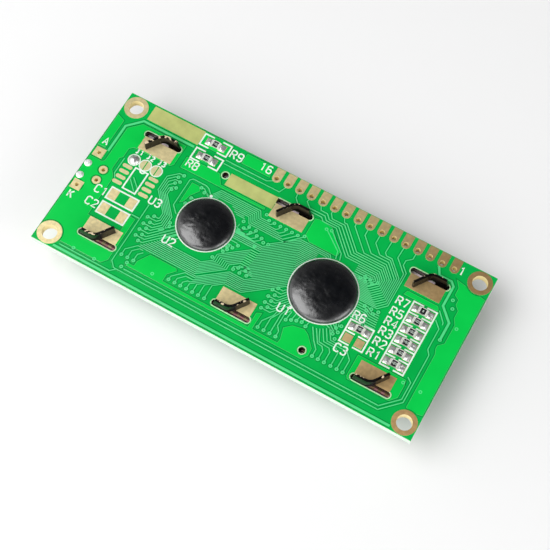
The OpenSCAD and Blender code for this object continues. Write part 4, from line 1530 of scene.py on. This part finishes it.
class DISPLAY_OT_backlight(Builder, bpy.types.Operator):
    """The backlight, its films and lamps, and the contact strips"""

    bl_idname = "display_module.backlight"
    bl_label = "Backlight and contact strips"

    def build(self):
        tint = colours()
        dress(
            ["backlight_housing"],
            mottled_material("white_plastic", tint.housing, rough=(0.4, 0.5), spread=0.03, scale=200),
        )
        white = mottled_material("white_film", srgb(240, 240, 236), rough=(0.4, 0.5), spread=0.03, scale=200)
        dress(["diffuser_film", "reflector_film"], white)
        dress(
            ["light_guide"],
            material("clear_acrylic", lambda: clear_finish("clear_acrylic", srgb(222, 240, 240), 0.35, 0.05)),
        )
        dress(["lamp_strip"], mottled_material("lamp_board", srgb(214, 222, 200), scale=400))
        dress(["backlight_lamps"], mottled_material("lamp_resin", srgb(240, 232, 170), rough=(0.2, 0.3), scale=600))
        pink = mottled_material("pink_silicone", tint.rubber, rough=(0.5, 0.62), spread=0.06, scale=500)
        dress(["contact_strip_header_side", "contact_strip_far_side"], pink)
        dress(["contact_cores"], mottled_material("carbon_silicone", srgb(34, 34, 36), rough=(0.5, 0.65)))


# Each lamp's name, place, size and power; the lamps point at the middle of the floor
LAMPS = (
    ("key_light", (-0.26, -0.2, 0.52), (0.56, 0.44), 3.0),
    ("front_light", (0.1, -0.65, 0.34), (0.7, 0.3), 1.2),
    ("side_light", (0.7, -0.1, 0.36), (0.5, 0.3), 1.1),
)

# How the light from all round fades: an axis, where on it the fade starts and ends, the strength at each
SKY_FADES = (("Z", 0.35, 0.85, 1.55, 0.04), ("Y", -0.1, 0.45, 1.0, 0.12))
BACKDROP_STRENGTH = 0.92

CAMERA_PLACE = (0.046349, -0.088660, 0.233797)
CAMERA_AHEAD = (-0.17468, 0.35339, -0.91902)
CAMERA_RIGHT = (0.87161, 0.48967, 0.02262)
CAMERA_LENS = 86.23


class DISPLAY_OT_stage(Builder, bpy.types.Operator):
    """Pale floor, soft studio light and the camera"""

    bl_idname = "display_module.stage"
    bl_label = "Stage"

    def build(self):
        scene = bpy.context.scene
        scene.view_settings.view_transform = "Standard"
        self.floor()
        self.world(scene)
        for row in LAMPS:
            self.lamp(*row)
        self.camera(scene)

    def floor(self):
        half = sizes().floor_size / 2
        corners = [(-half, -half, 0), (half, -half, 0), (half, half, 0), (-half, half, 0)]
        mesh = mesh_from("studio_floor", corners, [(0, 1, 2, 3)])
        finish = Finish("studio_floor")
        base = colours().floor
        finish.colour(finish.mix(finish.remap(finish.noise(6), 0.3, 0.7), shade(base, 0.995), base))
        finish.shader.inputs["Roughness"].default_value = 0.9
        finish.set(specular=0.1)
        mesh.materials.append(finish.material)
        floor = bpy.data.objects.new("studio_floor", mesh)
        bpy.context.scene.collection.objects.link(floor)

    def world(self, scene):
        """Pale light from all round that fades upward and to the back, and an even backdrop for the camera."""
        world = bpy.data.worlds.new("studio")
        world.use_nodes = True
        tree = world.node_tree
        back = tree.nodes["Background"]
        coords = tree.nodes.new("ShaderNodeTexCoord")
        parts = tree.nodes.new("ShaderNodeSeparateXYZ")
        direct = tree.nodes.new("ShaderNodeLightPath")
        product = tree.nodes.new("ShaderNodeMath")
        product.operation = "MULTIPLY"
        mix = tree.nodes.new("ShaderNodeMix")
        mix.inputs["B"].default_value = BACKDROP_STRENGTH
        tree.links.new(coords.outputs["Generated"], parts.inputs[0])
        for index, (letter, start, end, strong, weak) in enumerate(SKY_FADES):
            fade = tree.nodes.new("ShaderNodeMapRange")
            for socket, value in (("From Min", start), ("From Max", end), ("To Min", strong), ("To Max", weak)):
                fade.inputs[socket].default_value = value
            tree.links.new(parts.outputs[letter], fade.inputs["Value"])
            tree.links.new(fade.outputs["Result"], product.inputs[index])
        tree.links.new(direct.outputs["Is Camera Ray"], mix.inputs["Factor"])
        tree.links.new(product.outputs[0], mix.inputs["A"])
        tree.links.new(mix.outputs["Result"], back.inputs["Strength"])
        back.inputs["Color"].default_value = (1, 1, 1, 1)
        scene.world = world

    def lamp(self, name, place, size, watts):
        data = bpy.data.lights.new(name, "AREA")
        data.shape = "RECTANGLE"
        data.size, data.size_y = size
        data.energy = watts
        lamp = bpy.data.objects.new(name, data)
        lamp.location = place
        lamp.rotation_euler = (-Vector(place)).to_track_quat("-Z", "Y").to_euler()
        bpy.context.scene.collection.objects.link(lamp)

    def camera(self, scene):
        """A long lens that looks down on the component side from the front right."""
        data = bpy.data.cameras.new("camera")
        data.sensor_width = 36
        data.lens = CAMERA_LENS
        data.clip_start = 0.01
        camera = bpy.data.objects.new("camera", data)
        back = -Vector(CAMERA_AHEAD).normalized()
        right = Vector(CAMERA_RIGHT).normalized()
        up = back.cross(right).normalized()
        right = up.cross(back).normalized()
        turn = Matrix((right, up, back)).transposed().to_4x4()
        camera.matrix_world = Matrix.Translation(CAMERA_PLACE) @ turn
        scene.collection.objects.link(camera)
        scene.camera = camera


OPERATORS = (
    DISPLAY_OT_stage,
    DISPLAY_OT_board,
    DISPLAY_OT_tracks,
    DISPLAY_OT_legend,
    DISPLAY_OT_sealed_chips,
    DISPLAY_OT_solder,
    DISPLAY_OT_bezel,
    DISPLAY_OT_display,
    DISPLAY_OT_backlight,
)


class DISPLAY_PT_panel(bpy.types.Panel):
    """Lists the steps that dress the module"""

    bl_idname = "DISPLAY_PT_panel"
    bl_label = "Display module"
    bl_space_type = "VIEW_3D"
    bl_region_type = "UI"
    bl_category = "Display module"

    def draw(self, context):
        for step in OPERATORS:
            self.layout.operator(step.bl_idname)


CLASSES = (ModuleSizes, ModuleColours, *OPERATORS, DISPLAY_PT_panel)


def register():
    for made in CLASSES:
        bpy.utils.register_class(made)
    bpy.types.Scene.module_sizes = PointerProperty(type=ModuleSizes)
    bpy.types.Scene.module_colours = PointerProperty(type=ModuleColours)


def unregister():
    del bpy.types.Scene.module_colours
    del bpy.types.Scene.module_sizes
    for made in reversed(CLASSES):
        bpy.utils.unregister_class(made)


def main():
    register()
    TREES["ribbon"] = ribbon_tree()
    TREES["scatter"] = scatter_tree()
    for step in OPERATORS:
        group, name = step.bl_idname.split(".")
        getattr(getattr(bpy.ops, group), name)()


if __name__ == "__main__":
    main()
